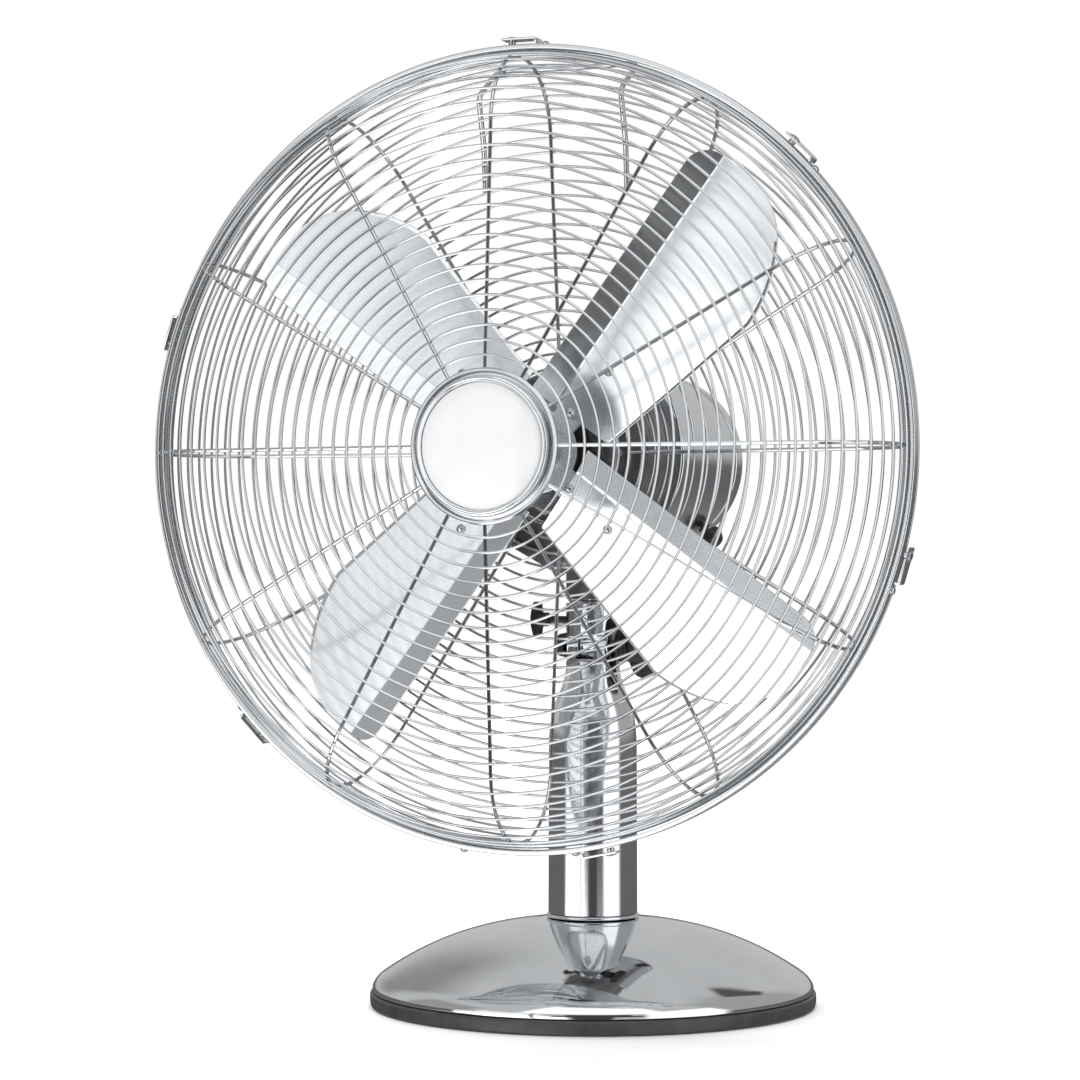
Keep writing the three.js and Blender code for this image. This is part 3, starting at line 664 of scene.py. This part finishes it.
def build_oscillation_drive():
    pivot = JOINTS["link_swing"]
    crank = JOINTS["crank_spin"]
    pin_at = crank - Vector((10, 0, 0))
    low, top = span("link_arm", "z")
    link_low, link_top = span("oscillation_link", "z")
    plate = cut(bar(Vector((0, 0)), pivot, 7, low, low + 1.3), disc("z", low - 5, low + 9, 6.3, 0, 0))
    post = (pivot.x, pivot.y, 0)
    pin = disc("z", low + 1, top, 2.4, 0, 0.4, post, 32)
    collar = disc("z", low + 1, link_low - 0.3, 4, 0, 0.4, post, 32)
    stand_in("link_arm", together(plate, pin, collar))

    link = bar(pivot, pin_at, 5, link_low, link_top)
    holes = [disc("z", 240, 280, 2.7, 0, 0, (spot.x, spot.y, 0), 32) for spot in (pivot, pin_at)]
    stand_in("oscillation_link", cut(link, *holes))

    low, top = span("crank_disc", "z")
    at = (crank.x, crank.y, 0)
    disc_low = low + 3
    boss = turned("z", ringed([(3.3, disc_low), (14, disc_low, 0.6), (14, disc_low + 3, 0.6),
                               (6.5, disc_low + 3, 0.6), (5.5, top, 0.5), (3.3, top)]), at, 80)
    throw = disc("z", low, disc_low + 1, 2.4, 0, 0.4, (pin_at.x, pin_at.y, 0), 32)
    stand_in("crank_disc", together(boss, throw))


# ---- Motor ----
def build_motor_shell():
    front, rear = span("motor_front_cover", "y")
    radius = span("motor_front_cover", "x")[1]
    face = front + 14
    nose = [(6, front), (13.5, front, 1), (13.5, face, 2)]
    steps_out = [(21, face, 0.6), (22, face - 1.6, 0.6), (radius - 8, face - 1.6, 0.6),
                 (radius - 7, face, 0.6), (radius, face + 1, 3.4)]
    fins = []
    fin_pitch = 7.2
    fin_count = 7
    for fin in range(fin_count):
        y = face + 6.6 + fin * fin_pitch
        fins += [(radius, y, 0.5), (radius - 1.3, y + 0.7, 0.5), (radius - 1.3, y + 2.6, 0.5),
                 (radius, y + 3.3, 0.5)]
    wall = 3
    back = [(radius, rear, 0.4), (radius - wall, rear, 0.4), (radius - wall, face + 6, 2),
            (11.4, face + 2.4), (11.4, front + 7), (6, front + 7)]
    shell = turned("y", ringed(nose + steps_out + fins + back, 3), HEAD, 128)
    slot_count = 10
    slots = around(slot_count,
                   lambda: eased(block((22, face - 9, -2.2), (37, face + 8, 2.2)), 1.8, 60, 4))
    stand_in("motor_front_cover", cut(shell, *slots))


def build_motor_housing():
    front, rear = span("motor_housing", "y")
    radius = span("motor_housing", "x")[1]
    corner = 14
    bend = [radians(4.5 * i) for i in range(21)]

    def rounded_end(r):
        return [(radius - corner + r * cos(t), rear - corner + r * sin(t)) for t in bend]

    bead = rounded([(radius - 0.5, front), (radius, front + 0.6, 0.4), (radius, front + 4.2, 0.5),
                    (radius - 0.7, front + 5, 0.4), (radius - 0.7, front + 9)])
    waist = rounded([(radius - 0.7, rear - 27), (radius - 0.7, rear - 24, 0.4), (radius, rear - 23.2, 0.4),
                     (radius, rear - corner - 1)])
    outside = bead + waist + rounded_end(corner)
    crown = [(22, rear), (21, rear - 0.8), (0, rear - 0.8)]
    inside = [(0, rear - 2.2)] + list(reversed(rounded_end(corner - SHEET)))[1:]
    inside += [(radius - 0.7 - SHEET, front + 8), (radius - 0.7 - SHEET, front + SHEET),
               (radius - 7, front + SHEET), (radius - 7, front)]
    shell = turned("y", outside + crown + inside + outside[:1], HEAD, 144)
    crank = JOINTS["crank_spin"]
    wheel = JOINTS["worm_wheel_spin"]
    crank_hole = disc("z", 262, 282, 7, 0, 0, (crank.x, crank.y, 0), 48)
    clutch_hole = disc("z", 360, 382, 3.2, 0, 0, (wheel.x, wheel.y, 0), 32)
    switch_hole = disc("x", 44, 58, 4, 0, 0, (0, JOINTS["speed_turn"].y, 0), 32)
    moved(turned_by(switch_hole, SWITCH_ANGLE), HEAD)
    vent_count = 6
    vents = around(vent_count,
                   lambda: eased(block((14, rear - 7, -2), (30, rear + 3, 2)), 1.7, 60, 4),
                   180 / vent_count)
    stand_in("motor_housing", cut(shell, crank_hole, clutch_hole, switch_hole, *vents), MOTOR_CHROME,
             sharp=30)

    for number, side in enumerate((9, -9), 1):
        screw = moved(screw_head("y", 3.2, 1.6), HEAD + Vector((side, rear - 0.8, 0)))
        piece(f"housing_screw_{number}", screw, "motor_housing", SCREW_STEEL)


def screw_head(axis, radius, height):
    """Domed screw head with a cross recess, standing on its station 0."""
    dome = [(0, -0.6), (radius, -0.6), (radius, 0.1)]
    dome += [(radius * cos(t), 0.1 + (height - 0.1) * sin(t))
             for t in [radians(10 * k) for k in range(1, 9)]] + [(0, height)]
    head = turned("z", dome, facets=40)
    arm = radius * 0.55
    width = radius * 0.14
    for low, high in (((-arm, -width), (arm, width)), ((-width, -arm), (width, arm))):
        head = cut(head, block((*low, height - radius * 0.35), (*high, height + 1)))
    head.transform(AXIS_TURN[axis])
    return head


def rivet_head(radius, height):
    """Round rivet head standing on station 0 of +Z."""
    dome = [(0, -0.5), (radius, -0.5), (radius, 0)]
    dome += [(radius * cos(t), height * sin(t))
             for t in [radians(9 * k) for k in range(1, 10)]] + [(0, height)]
    return turned("z", dome, facets=32)


def build_saddle():
    outline = [(-40, 300), (-38, 271), (-6, 253.5), (6, 253.5), (38, 271), (40, 300)]
    front, rear = span("saddle", "y")[0], 14
    body = eased(pushed("y", outline, front, rear), 1.6, 20, 3)
    low = span("saddle", "z")[0]
    boss = disc("z", low, 262, NECK_R, 0, 0.8)
    cover = disc("y", -70, 60, span("motor_front_cover", "x")[1] + 0.3, 0, 0, HEAD)
    housing_r = span("motor_housing", "x")[1]
    housing = disc("y", 7, 60, housing_r + 0.5, 0, 0, HEAD)
    bore = disc("z", 230, 266, 8.6, 0, 0)
    pockets = []
    for side in (-1, 1):
        corners = [(side * x, z) for x, z in ((31, 273.5), (9, 261.5), (9, 268), (31, 280))]
        pockets.append(eased(pushed("y", corners, front - 5, front + 4), 0.6))
    stand_in("saddle", cut(joined(body, boss), cover, housing, bore, *pockets), sharp=28)
    screw = turned_by(screw_head("y", 2.6, 1.4), 180, "Z")
    piece("saddle_screw", moved(screw, (0, front, 259)), "saddle", SCREW_STEEL)


def build_controls():
    stem = disc("x", 38, 59, 2, 0, 0.3, facets=32)
    dome = turned("x", rounded([(0, 57), (6.1, 57, 0.4), (6.7, 58, 0.5), (6.7, 62, 0.8), (6, 65, 2),
                                (3.8, 67.1, 1.8), (0, 67.8)]), facets=64)
    rib_count = 14
    ribs = around(rib_count, lambda: block((58.2, 6.4, -0.4), (62.4, 7, 0.4)), axis="X",
                  centre=(0, 0, 0))
    knob = turned_by(together(stem, dome, *ribs), SWITCH_ANGLE)
    stand_in("speed_knob", moved(knob, (0, JOINTS["speed_turn"].y, HEAD.z)))

    x, y = JOINTS["worm_wheel_spin"].xy
    low, top = span("clutch_knob", "z")
    rod = disc("z", low, top - 10, 2.5, 0, 0.3, (x, y, 0), 32)
    cap = turned("z", rounded([(0, top - 12), (7, top - 12, 0.5), (8, top - 10.5, 0.8), (7.2, top - 7, 1.5),
                               (8, top - 3.5, 1.5), (6, top - 0.6, 1.5), (0, top)]),
                 (x, y, 0), 64)
    stand_in("clutch_knob", together(rod, cap))


# ---- Guards ----
def guard_point(travel, rim_y, slope, side, inset=0):
    """(radius, y) of the guard's section at a distance from the hub ring along the wires."""
    stretch = hypot(1, slope)
    face = (FACE_EDGE - HUB_RING_R) * stretch
    bend = SHOULDER_R - inset
    if travel < face:
        radius = HUB_RING_R + travel / stretch
        return radius, rim_y + side * (bend + (FACE_EDGE - radius) * slope)
    turn = pi / 2 - (travel - face) / SHOULDER_R
    return FACE_EDGE + bend * cos(turn), rim_y + side * bend * sin(turn)


def ring_wire(radius, y, thickness, facets=176, sides=10):
    turns = [2 * pi * i / sides for i in range(sides)]
    section = [(radius + thickness * cos(t), y + thickness * sin(t)) for t in turns]
    return turned("y", section + section[:1], HEAD, facets)


def guard_wires(rim_y, slope, side):
    """Rings on the outside, ribs spot-welded to them on the inside, rim wire at the edge."""
    length = (FACE_EDGE - HUB_RING_R) * hypot(1, slope) + SHOULDER_R * pi / 2
    wires = [ring_wire(GUARD_R, rim_y, RIM_WIRE)]
    for gap in range(GUARD_GAPS):
        radius, y = guard_point(length * gap / GUARD_GAPS, rim_y, slope, side)
        wires.append(ring_wire(radius, y, RIM_WIRE if gap == 0 else RING_WIRE))
    steps = 44
    inset = RING_WIRE + RIB_WIRE - 0.3
    section = [guard_point(length * i / steps, rim_y, slope, side, inset) for i in range(steps + 1)]
    wires += around(RIB_COUNT, lambda: tube([(radius, y, 0) for radius, y in section], RIB_WIRE, 8))
    return together(*wires)


def build_guards():
    front = {"rim_y": span("front_guard", "y")[1] - RIM_WIRE, "slope": 0.064, "side": -1}
    rear = {"rim_y": span("rear_guard", "y")[0] + RIM_WIRE, "slope": 0.113, "side": 1}
    plate_y = guard_point(0, **front)[1]
    stand_in("front_guard", guard_wires(**front), WIRE_CHROME)
    piece("badge_plate", disc("y", plate_y + 0.6, plate_y + 2.4, HUB_RING_R + 0.8, 0, 0.5, HEAD),
          "front_guard", FINISHES["satin_steel"])
    stand_in("rear_guard", guard_wires(**rear), WIRE_CHROME)
    clamp_y = guard_point(0, **rear)[1]
    clamp = turned("y", ringed([(14.2, clamp_y - 0.6), (34, clamp_y - 0.6, 0.8), (36, clamp_y + 0.8, 1),
                                (HUB_RING_R + 0.8, clamp_y + 0.8, 0.5),
                                (HUB_RING_R + 0.8, clamp_y + 2, 0.5), (35, clamp_y + 2, 1),
                                (33, clamp_y + 0.6, 0.8), (14.2, clamp_y + 0.6)]), HEAD)
    piece("guard_clamp_plate", clamp, "rear_guard", FINISHES["satin_steel"])

    low, high = span("guard_nut", "y")
    nut = disc("y", low, high, 22.5, 13.8, 0.8, HEAD, 96)
    lobe_count = 10
    lobes = around(lobe_count,
                   lambda: disc("y", low + 0.4, high - 0.4, 3, 0, 0.5, (20.9, 0, 0), 32))
    stand_in("guard_nut", together(nut, *lobes))

    low, high = span("rim_band", "y")
    radius = span("rim_band", "x")[1]
    band = ringed([(radius - 3, low, 0.5), (radius - 0.4, low, 0.8), (radius, low + 1.6, 0.6),
                   (radius - 0.7, low + 2.2, 0.5), (radius - 0.7, high - 2.2, 0.5),
                   (radius, high - 1.6, 0.6), (radius - 0.4, high, 0.8), (radius - 3, high, 0.5),
                   (radius - 2.6, high - 1.2, 0.5), (radius - 1.7, high - 2, 0.4),
                   (radius - 1.7, low + 2, 0.4), (radius - 2.6, low + 1.2, 0.5)], 3)
    stand_in("rim_band", turned("y", band, HEAD, 240), BAND_STEEL)
    build_badge()
    build_clips()
    build_handle(rear)


def build_badge():
    front, back = span("badge_bezel", "y")
    outer = span("badge_bezel", "x")[1]
    inner = 34.5
    bezel = ringed([(inner, back), (inner, front + 2.2, 0.3), (inner + 0.7, front + 0.8, 0.4),
                    (inner + 1.6, front, 0.5), (inner + 2.5, front + 0.9, 0.4),
                    (inner + 2.4, front + 2, 0.3), (inner + 3.2, front + 2.2, 0.5),
                    (outer, front + 3.6, 0.6), (outer, back, 0.4)])
    stand_in("badge_bezel", turned("y", bezel, HEAD, 160), sharp=50)
    low, high = span("badge_disc", "y")
    radius = span("badge_disc", "x")[1]
    arc, sag = 0.5, 1.8  # half angle of the domed face in radians, and its depth
    face = [(radius * sin(t) / sin(arc), low + sag * (1 - cos(t)) / (1 - cos(arc)))
            for t in [arc * k / 12 for k in range(13)]]
    stand_in("badge_disc", turned("y", face + [(radius, high), (0, high)], HEAD, 128))


def build_clips():
    """A plate stands off the band on its bent foot and on the spacer under its screw."""
    band = span("rim_band", "x")[1]
    foot = band + 0.3
    low, high = span("guard_clip_1", "y")
    middle = (low + high) / 2
    half, thick, lift = 10.5, 1.1, 2.2
    top = lift + thick
    outline = [(-half, 0, 0.2), (1.2 - half, 0, 0.2), (1.2 - half, lift, 0.5), (half, lift, 0.2),
               (half, top, 0.4), (-half, top, 1.6)]
    profile = [(foot + up, along) for along, up in rounded(outline, 4)]
    for number, angle in enumerate(CLIP_ANGLES, 1):
        plate = eased(pushed("y", profile, low, high), 0.25, 50)
        stand_in(f"guard_clip_{number}", moved(turned_by(plate, angle), HEAD), CLIP_STEEL)
        spacer = disc("x", foot, foot + lift + 0.2, 2.1, 0, 0.2, (0, middle, 5.5), 32)
        screw = rivet_head(3.4, 1.25)
        screw.transform(Matrix.Translation((foot + top, middle, 5.5)) @ AXIS_TURN["x"])
        piece(f"clip_screw_{number}", moved(turned_by(together(spacer, screw), angle), HEAD),
              f"guard_clip_{number}", SCREW_STEEL)
    rivet_angles = [angle - 3.7 for angle in CLIP_ANGLES] + [SPARE_RIVET_ANGLE]
    for number, angle in enumerate(rivet_angles, 1):
        rivet = rivet_head(2.45, 2.2)
        rivet.transform(Matrix.Translation((band - 0.3, middle - 1, 0)) @ AXIS_TURN["x"])
        piece(f"band_rivet_{number}", moved(turned_by(rivet, angle), HEAD), "rim_band", SCREW_STEEL)


def build_handle(rear):
    half = 43

    def on_guard(up, off):
        radius = hypot(half, up)
        bend = sqrt(SHOULDER_R ** 2 - max(0, radius - FACE_EDGE) ** 2)
        return rear["rim_y"] + bend + max(0, FACE_EDGE - radius) * rear["slope"] + off

    leg = [(150, on_guard(150, 4)), (175, on_guard(175, 4)), (192, on_guard(192, 5)), (204, -72),
           (214, -58), (220, -48)]
    left = [(-half, y, HEAD.z + up) for up, y in leg]
    right = [(half, y, HEAD.z + up) for up, y in reversed(leg)]
    grip = [(x, y, HEAD.z + 223) for x, y in ((-38, -43.5), (-20, -42.5), (0, -42), (20, -42.5),
                                              (38, -43.5))]
    stand_in("carry_handle", tube(smooth_path(left + grip + right), 1.6, 16), WIRE_CHROME)


# ---- Blades ----
STRIP_WIDTH = 14.5  # narrow strip on one side of the fold
STRIP_RISE = 6
LEAD_INNER = (28, -38)  # leading edge's root, along and across the fold line
LEAD_OUTER = (128, -64)
TIP_ACROSS = -15
CORNER = (181, 1.5)  # where the strip starts to round off, and how wide it ends
PADDLE_DROP = 8


def lead_edge(along):
    """Across the fold line, where the paddle's leading edge lies."""
    if along <= LEAD_OUTER[0]:
        share = (along - LEAD_INNER[0]) / (LEAD_OUTER[0] - LEAD_INNER[0])
        return LEAD_INNER[1] + share * (LEAD_OUTER[1] - LEAD_INNER[1])
    share = (along - LEAD_OUTER[0]) / (BLADE_TIP - LEAD_OUTER[0])
    return TIP_ACROSS - (TIP_ACROSS - LEAD_OUTER[1]) * sqrt(max(0, 1 - share ** 2))


def strip_edge(along):
    if along <= CORNER[0]:
        return STRIP_WIDTH
    share = (along - CORNER[0]) / (BLADE_TIP - CORNER[0])
    return CORNER[1] + (STRIP_WIDTH - CORNER[1]) * sqrt(max(0, 1 - share ** 2))


def blade_rise(across):
    """How far the sheet stands ahead of the fold line: strip forward, paddle back."""
    slope = STRIP_RISE / STRIP_WIDTH
    soft = 0.9  # half the width of the fold's rounding
    folded = slope * (max(0, across + soft) ** 2) / (4 * soft) if across < soft else slope * across
    return folded - PADDLE_DROP * max(0, across / LEAD_OUTER[1]) ** 1.3


def blade_shape(fold_y):
    """One blade along +X: a loop of points across the sheet at each station."""
    steps = 60
    inner = [LEAD_INNER[0] + (LEAD_OUTER[0] - LEAD_INNER[0]) * i / steps for i in range(steps)]
    tip = [LEAD_OUTER[0] + (BLADE_TIP - LEAD_OUTER[0]) * sin(pi / 2 * i / steps)
           for i in range(steps + 1)]
    half = SHEET / 2
    shape = bmesh.new()
    rows = []
    for along in inner + tip:
        strip, lead = strip_edge(along), lead_edge(along)
        across = [strip * (1 - i / 6) + 1.2 * i / 6 for i in range(7)]
        across += [0.6, 0, -0.6, -1.2]
        across += [-1.2 + (lead + 1.2) * (i / 26) for i in range(1, 27)]
        front = [(a, fold_y - blade_rise(a) - half) for a in across]
        back = [(a, y + SHEET) for a, y in reversed(front)]
        edge = 0.45
        loop = front + [(lead - edge, front[-1][1] + half)] + back
        loop += [(strip + edge, front[0][1] + half)]
        rows.append([shape.verts.new((along, y, a + BLADE_FOLD_OFFSET)) for a, y in loop])
    count = len(rows[0])
    for lower, upper in zip(rows, rows[1:]):
        for k in range(count):
            shape.faces.new((lower[k], lower[(k + 1) % count], upper[(k + 1) % count], upper[k]))
    shape.faces.new(rows[0])
    shape.faces.new(list(reversed(rows[-1])))
    return shape


def build_blades():
    fold_y = span("fan_blade_1", "y")[0] + SHEET / 2 + STRIP_RISE
    for i in range(BLADE_COUNT):
        turn = BLADE_FOLD_ANGLE + i * 360 / BLADE_COUNT
        place = Matrix.Translation(HEAD * MM) @ Matrix.Rotation(radians(-turn), 4, "Y")
        stand_in(f"fan_blade_{i + 1}", blade_shape(fold_y), place=place, sharp=50)

    low, high = span("blade_spider", "y")
    sheet_rear = low + 2.2
    hub = disc("y", low, sheet_rear, 24, 0, 0.5)
    boss = turned("y", ringed([(4.3, sheet_rear - 0.4), (10, sheet_rear - 0.4), (10, high, 0.8),
                               (4.3, high)]), facets=64)
    outline = rounded([(10, -8), (70, -8, 6), (70, 8, 6), (10, 8)], 8)
    arms = around(BLADE_COUNT, lambda: pushed("y", outline, low, sheet_rear), SPIDER_ANGLE,
                  centre=(0, 0, 0))
    plate = eased(cut(joined(hub, *arms), disc("y", low - 9, high + 9, 4.3, 0, 0)), 0.35)
    stand_in("blade_spider", moved(together(plate, boss), HEAD), FINISHES["satin_steel"])

    low_nut, high_nut = span("hub_nut", "y")
    bottom = low_nut + 4.8
    crown = rounded([(0, bottom), (4.3, bottom), (4.3, high_nut), (8, high_nut, 0.5),
                     (8, low_nut + 5, 1.5), (5, low_nut + 0.8, 2.5), (0, low_nut)])
    stand_in("hub_nut", turned("y", crown, HEAD, 64))
    build_blade_rivets(fold_y, sheet_rear)

    y0, y1 = span("motor_shaft", "y")
    shaft = [(0, y0), (3.5, y0), (4, y0 + 0.5), (4, 60), (4.7, 60.5)]
    thread_turns = 9
    pitch = 3
    for k in range(thread_turns):
        start = 61 + k * pitch
        shaft += [(4.7, start), (4.7, start + 1), (3.5, start + 1.8), (3.5, start + 2.2)]
    shaft += [(4.7, 88), (3, 89), (3, y1), (0, y1)]
    stand_in("motor_shaft", turned("y", shaft, HEAD, 64))


def build_blade_rivets(fold_y, sheet_rear):
    """Two rivets through each blade and its spider arm, with a collar between them."""
    offset = radians(SPIDER_ANGLE - BLADE_FOLD_ANGLE)
    for i in range(BLADE_COUNT):
        for number, radius in enumerate(RIVET_RADII, 1):
            across = radius * sin(offset) - BLADE_FOLD_OFFSET
            face = fold_y - blade_rise(across) - SHEET / 2
            grip = sheet_rear - face
            profile = [(0, -2.4), (1.4, -2.2), (2.4, -1.3), (2.75, -0.1), (2.75, 0.2), (1.7, 0.2),
                       (1.7, SHEET), (3.6, SHEET + 0.2), (3.6, grip - 2.3), (1.7, grip - 2.2),
                       (1.7, grip), (2.7, grip), (2.4, grip + 1), (0, grip + 1.4)]
            rivet = turned("y", profile, (radius, face, 0), 32)
            turned_by(rivet, SPIDER_ANGLE + i * 360 / BLADE_COUNT)
            piece(f"blade_rivet_{i + 1}_{number}", moved(rivet, HEAD), "blade_spider", SCREW_STEEL,
                  sharp=50)


# ---- Studio and camera ----
VIEW_AZIMUTH = 19.63  # degrees right of the fan's front
CAMERA_DISTANCE = 1.8573  # metres from the column axis
CAMERA_HEIGHT = 0.2576
AIM_HEIGHT = 0.2729
AIM_LEFT = 0.0311
LENS = 105.13


def build_camera():
    turn = radians(VIEW_AZIMUTH)
    away = Vector((sin(turn), -cos(turn), 0))
    right = Vector((cos(turn), sin(turn), 0))
    camera = placed("camera", bpy.data.cameras.new("camera"))
    camera.location = away * CAMERA_DISTANCE + Vector((0, 0, CAMERA_HEIGHT))
    aim = right * -AIM_LEFT + Vector((0, 0, AIM_HEIGHT))
    camera.rotation_mode = "QUATERNION"
    camera.rotation_quaternion = (aim - camera.location).to_track_quat("-Z", "Y")
    camera.data.lens = LENS
    camera.data.sensor_width = 36
    bpy.context.scene.camera = camera


# Panels round the set, in degrees: (azimuth from the camera's, half width, lowest and highest
# elevation, softness, brightness). Later panels cover earlier ones.
PANELS = (
    (180, 105, -90, 2, 6, 0.14),
    (180, 105, -90, -22, 26, 0.38),
    (-150, 14, 10, 45, 20, 0.3),
    (105, 32, 2, 60, 16, 0.4),
    (137, 8, 38, 52, 3, 0.1),
    (-90, 22, 6, 40, 8, 0.36),
    (-45, 17, -70, 24, 6, 1.05),
    (-48, 25, -70, 1, 8, 1.35),
    (-45, 31, -70, -6, 4, 2.4),
    (-78, 12, -60, -14, 8, 0.45),
    (50, 22, -70, 40, 6, 1.35),
    (2.5, 23.5, -6, 4, 3, 0.06),
    (3, 17, 2, 18, 4, 0.06),
    (0, 11, -75, -5, 4, 0.055),
    (-31.5, 1.2, -40, 30, 1, 0.3),
    (0, 40, 26, 70, 8, 1.3),
)
SURROUND = 0.56


def build_world():
    world = bpy.data.worlds.new("studio")
    world.use_nodes = True
    bpy.context.scene.world = world
    tree = world.node_tree
    tree.nodes.clear()

    def math_node(operation, *values):
        node = tree.nodes.new("ShaderNodeMath")
        node.operation = operation
        for socket, value in zip(node.inputs, values):
            if isinstance(value, (int, float)):
                socket.default_value = value
            else:
                tree.links.new(value, socket)
        return node.outputs[0]

    def ramp(value, start, end):
        node = tree.nodes.new("ShaderNodeMapRange")
        node.interpolation_type = "SMOOTHSTEP"
        node.inputs["From Min"].default_value = start
        node.inputs["From Max"].default_value = end
        tree.links.new(value, node.inputs["Value"])
        return node.outputs["Result"]

    direction = tree.nodes.new("ShaderNodeTexCoord").outputs["Generated"]
    parts = tree.nodes.new("ShaderNodeSeparateXYZ")
    tree.links.new(direction, parts.inputs["Vector"])
    x, y, z = parts.outputs
    elevation = math_node("DEGREES", math_node("ARCSINE", z))
    flat = math_node("SQRT", math_node("ADD", math_node("MULTIPLY", x, x), math_node("MULTIPLY", y, y)))
    level = SURROUND
    for azimuth, half, low, high, soft, brightness in PANELS:
        turn = radians(VIEW_AZIMUTH + azimuth)
        facing = math_node("ADD", math_node("MULTIPLY", x, sin(turn)),
                           math_node("MULTIPLY", y, -cos(turn)))
        cosine = math_node("DIVIDE", facing, math_node("MAXIMUM", flat, 0.001))
        angle = math_node("DEGREES", math_node("ARCCOSINE", cosine))
        inside = ramp(angle, half + soft / 2, half - soft / 2)
        above = ramp(elevation, low - soft / 2, low + soft / 2) if low > -90 else 1.0
        below = ramp(elevation, high + soft / 2, high - soft / 2)
        mask = math_node("MULTIPLY", math_node("MULTIPLY", inside, above), below)
        change = math_node("MULTIPLY", mask, math_node("SUBTRACT", brightness, level))
        level = math_node("ADD", level, change)

    colour = tree.nodes.new("ShaderNodeCombineColor")
    for socket, share in zip(colour.inputs, grey(1, 0.012)):
        tree.links.new(math_node("MULTIPLY", level, share), socket)
    studio = tree.nodes.new("ShaderNodeBackground")
    tree.links.new(colour.outputs["Color"], studio.inputs["Color"])
    backdrop = tree.nodes.new("ShaderNodeBackground")
    backdrop.inputs["Color"].default_value = (1, 1, 1, 1)
    seen = tree.nodes.new("ShaderNodeLightPath").outputs["Is Camera Ray"]
    mix = tree.nodes.new("ShaderNodeMixShader")
    tree.links.new(seen, mix.inputs["Fac"])
    tree.links.new(studio.outputs["Background"], mix.inputs[1])
    tree.links.new(backdrop.outputs["Background"], mix.inputs[2])
    output = tree.nodes.new("ShaderNodeOutputWorld")
    tree.links.new(mix.outputs["Shader"], output.inputs["Surface"])


def build_floor():
    size = 6
    mesh = bpy.data.meshes.new("floor")
    corners = [(-size, -size), (size, -size), (size, size), (-size, size)]
    mesh.from_pydata([(x, y, 0) for x, y in corners], [], [(0, 1, 2, 3)])
    floor = placed("floor", mesh)
    material, shader = principled("floor_paper", (0.9, 0.9, 0.9), 0, 0.8)
    shader.inputs["Specular IOR Level"].default_value = 0.1
    mesh.materials.append(material)
    floor.visible_glossy = False


def build_lights():
    """A wide sun that whitens the floor and softens shadows; reflections come from the set."""
    sun = bpy.data.lights.new("overhead", "SUN")
    sun.energy = 3.2
    sun.angle = radians(75)
    holder = placed("overhead", sun)
    holder.rotation_euler = (radians(-12), radians(-14), 0)
    holder.visible_glossy = False


def dress_carried_nodes():
    """CAD nodes that stay as they are get the same procedural finishes."""
    for node, slot in CAD_SLOTS.items():
        materials = frame["nodes"][node].data.materials
        for i in range(len(materials)):
            materials[i] = FINISHES[slot]


build_camera()
build_world()
build_lights()
build_floor()
dress_carried_nodes()
build_base()
build_column()
build_tilt_fittings()
build_swivel()
build_oscillation_drive()
build_motor_shell()
build_motor_housing()
build_saddle()
build_controls()
build_guards()
build_blades()
bpy.context.scene.view_settings.view_transform = "Standard"
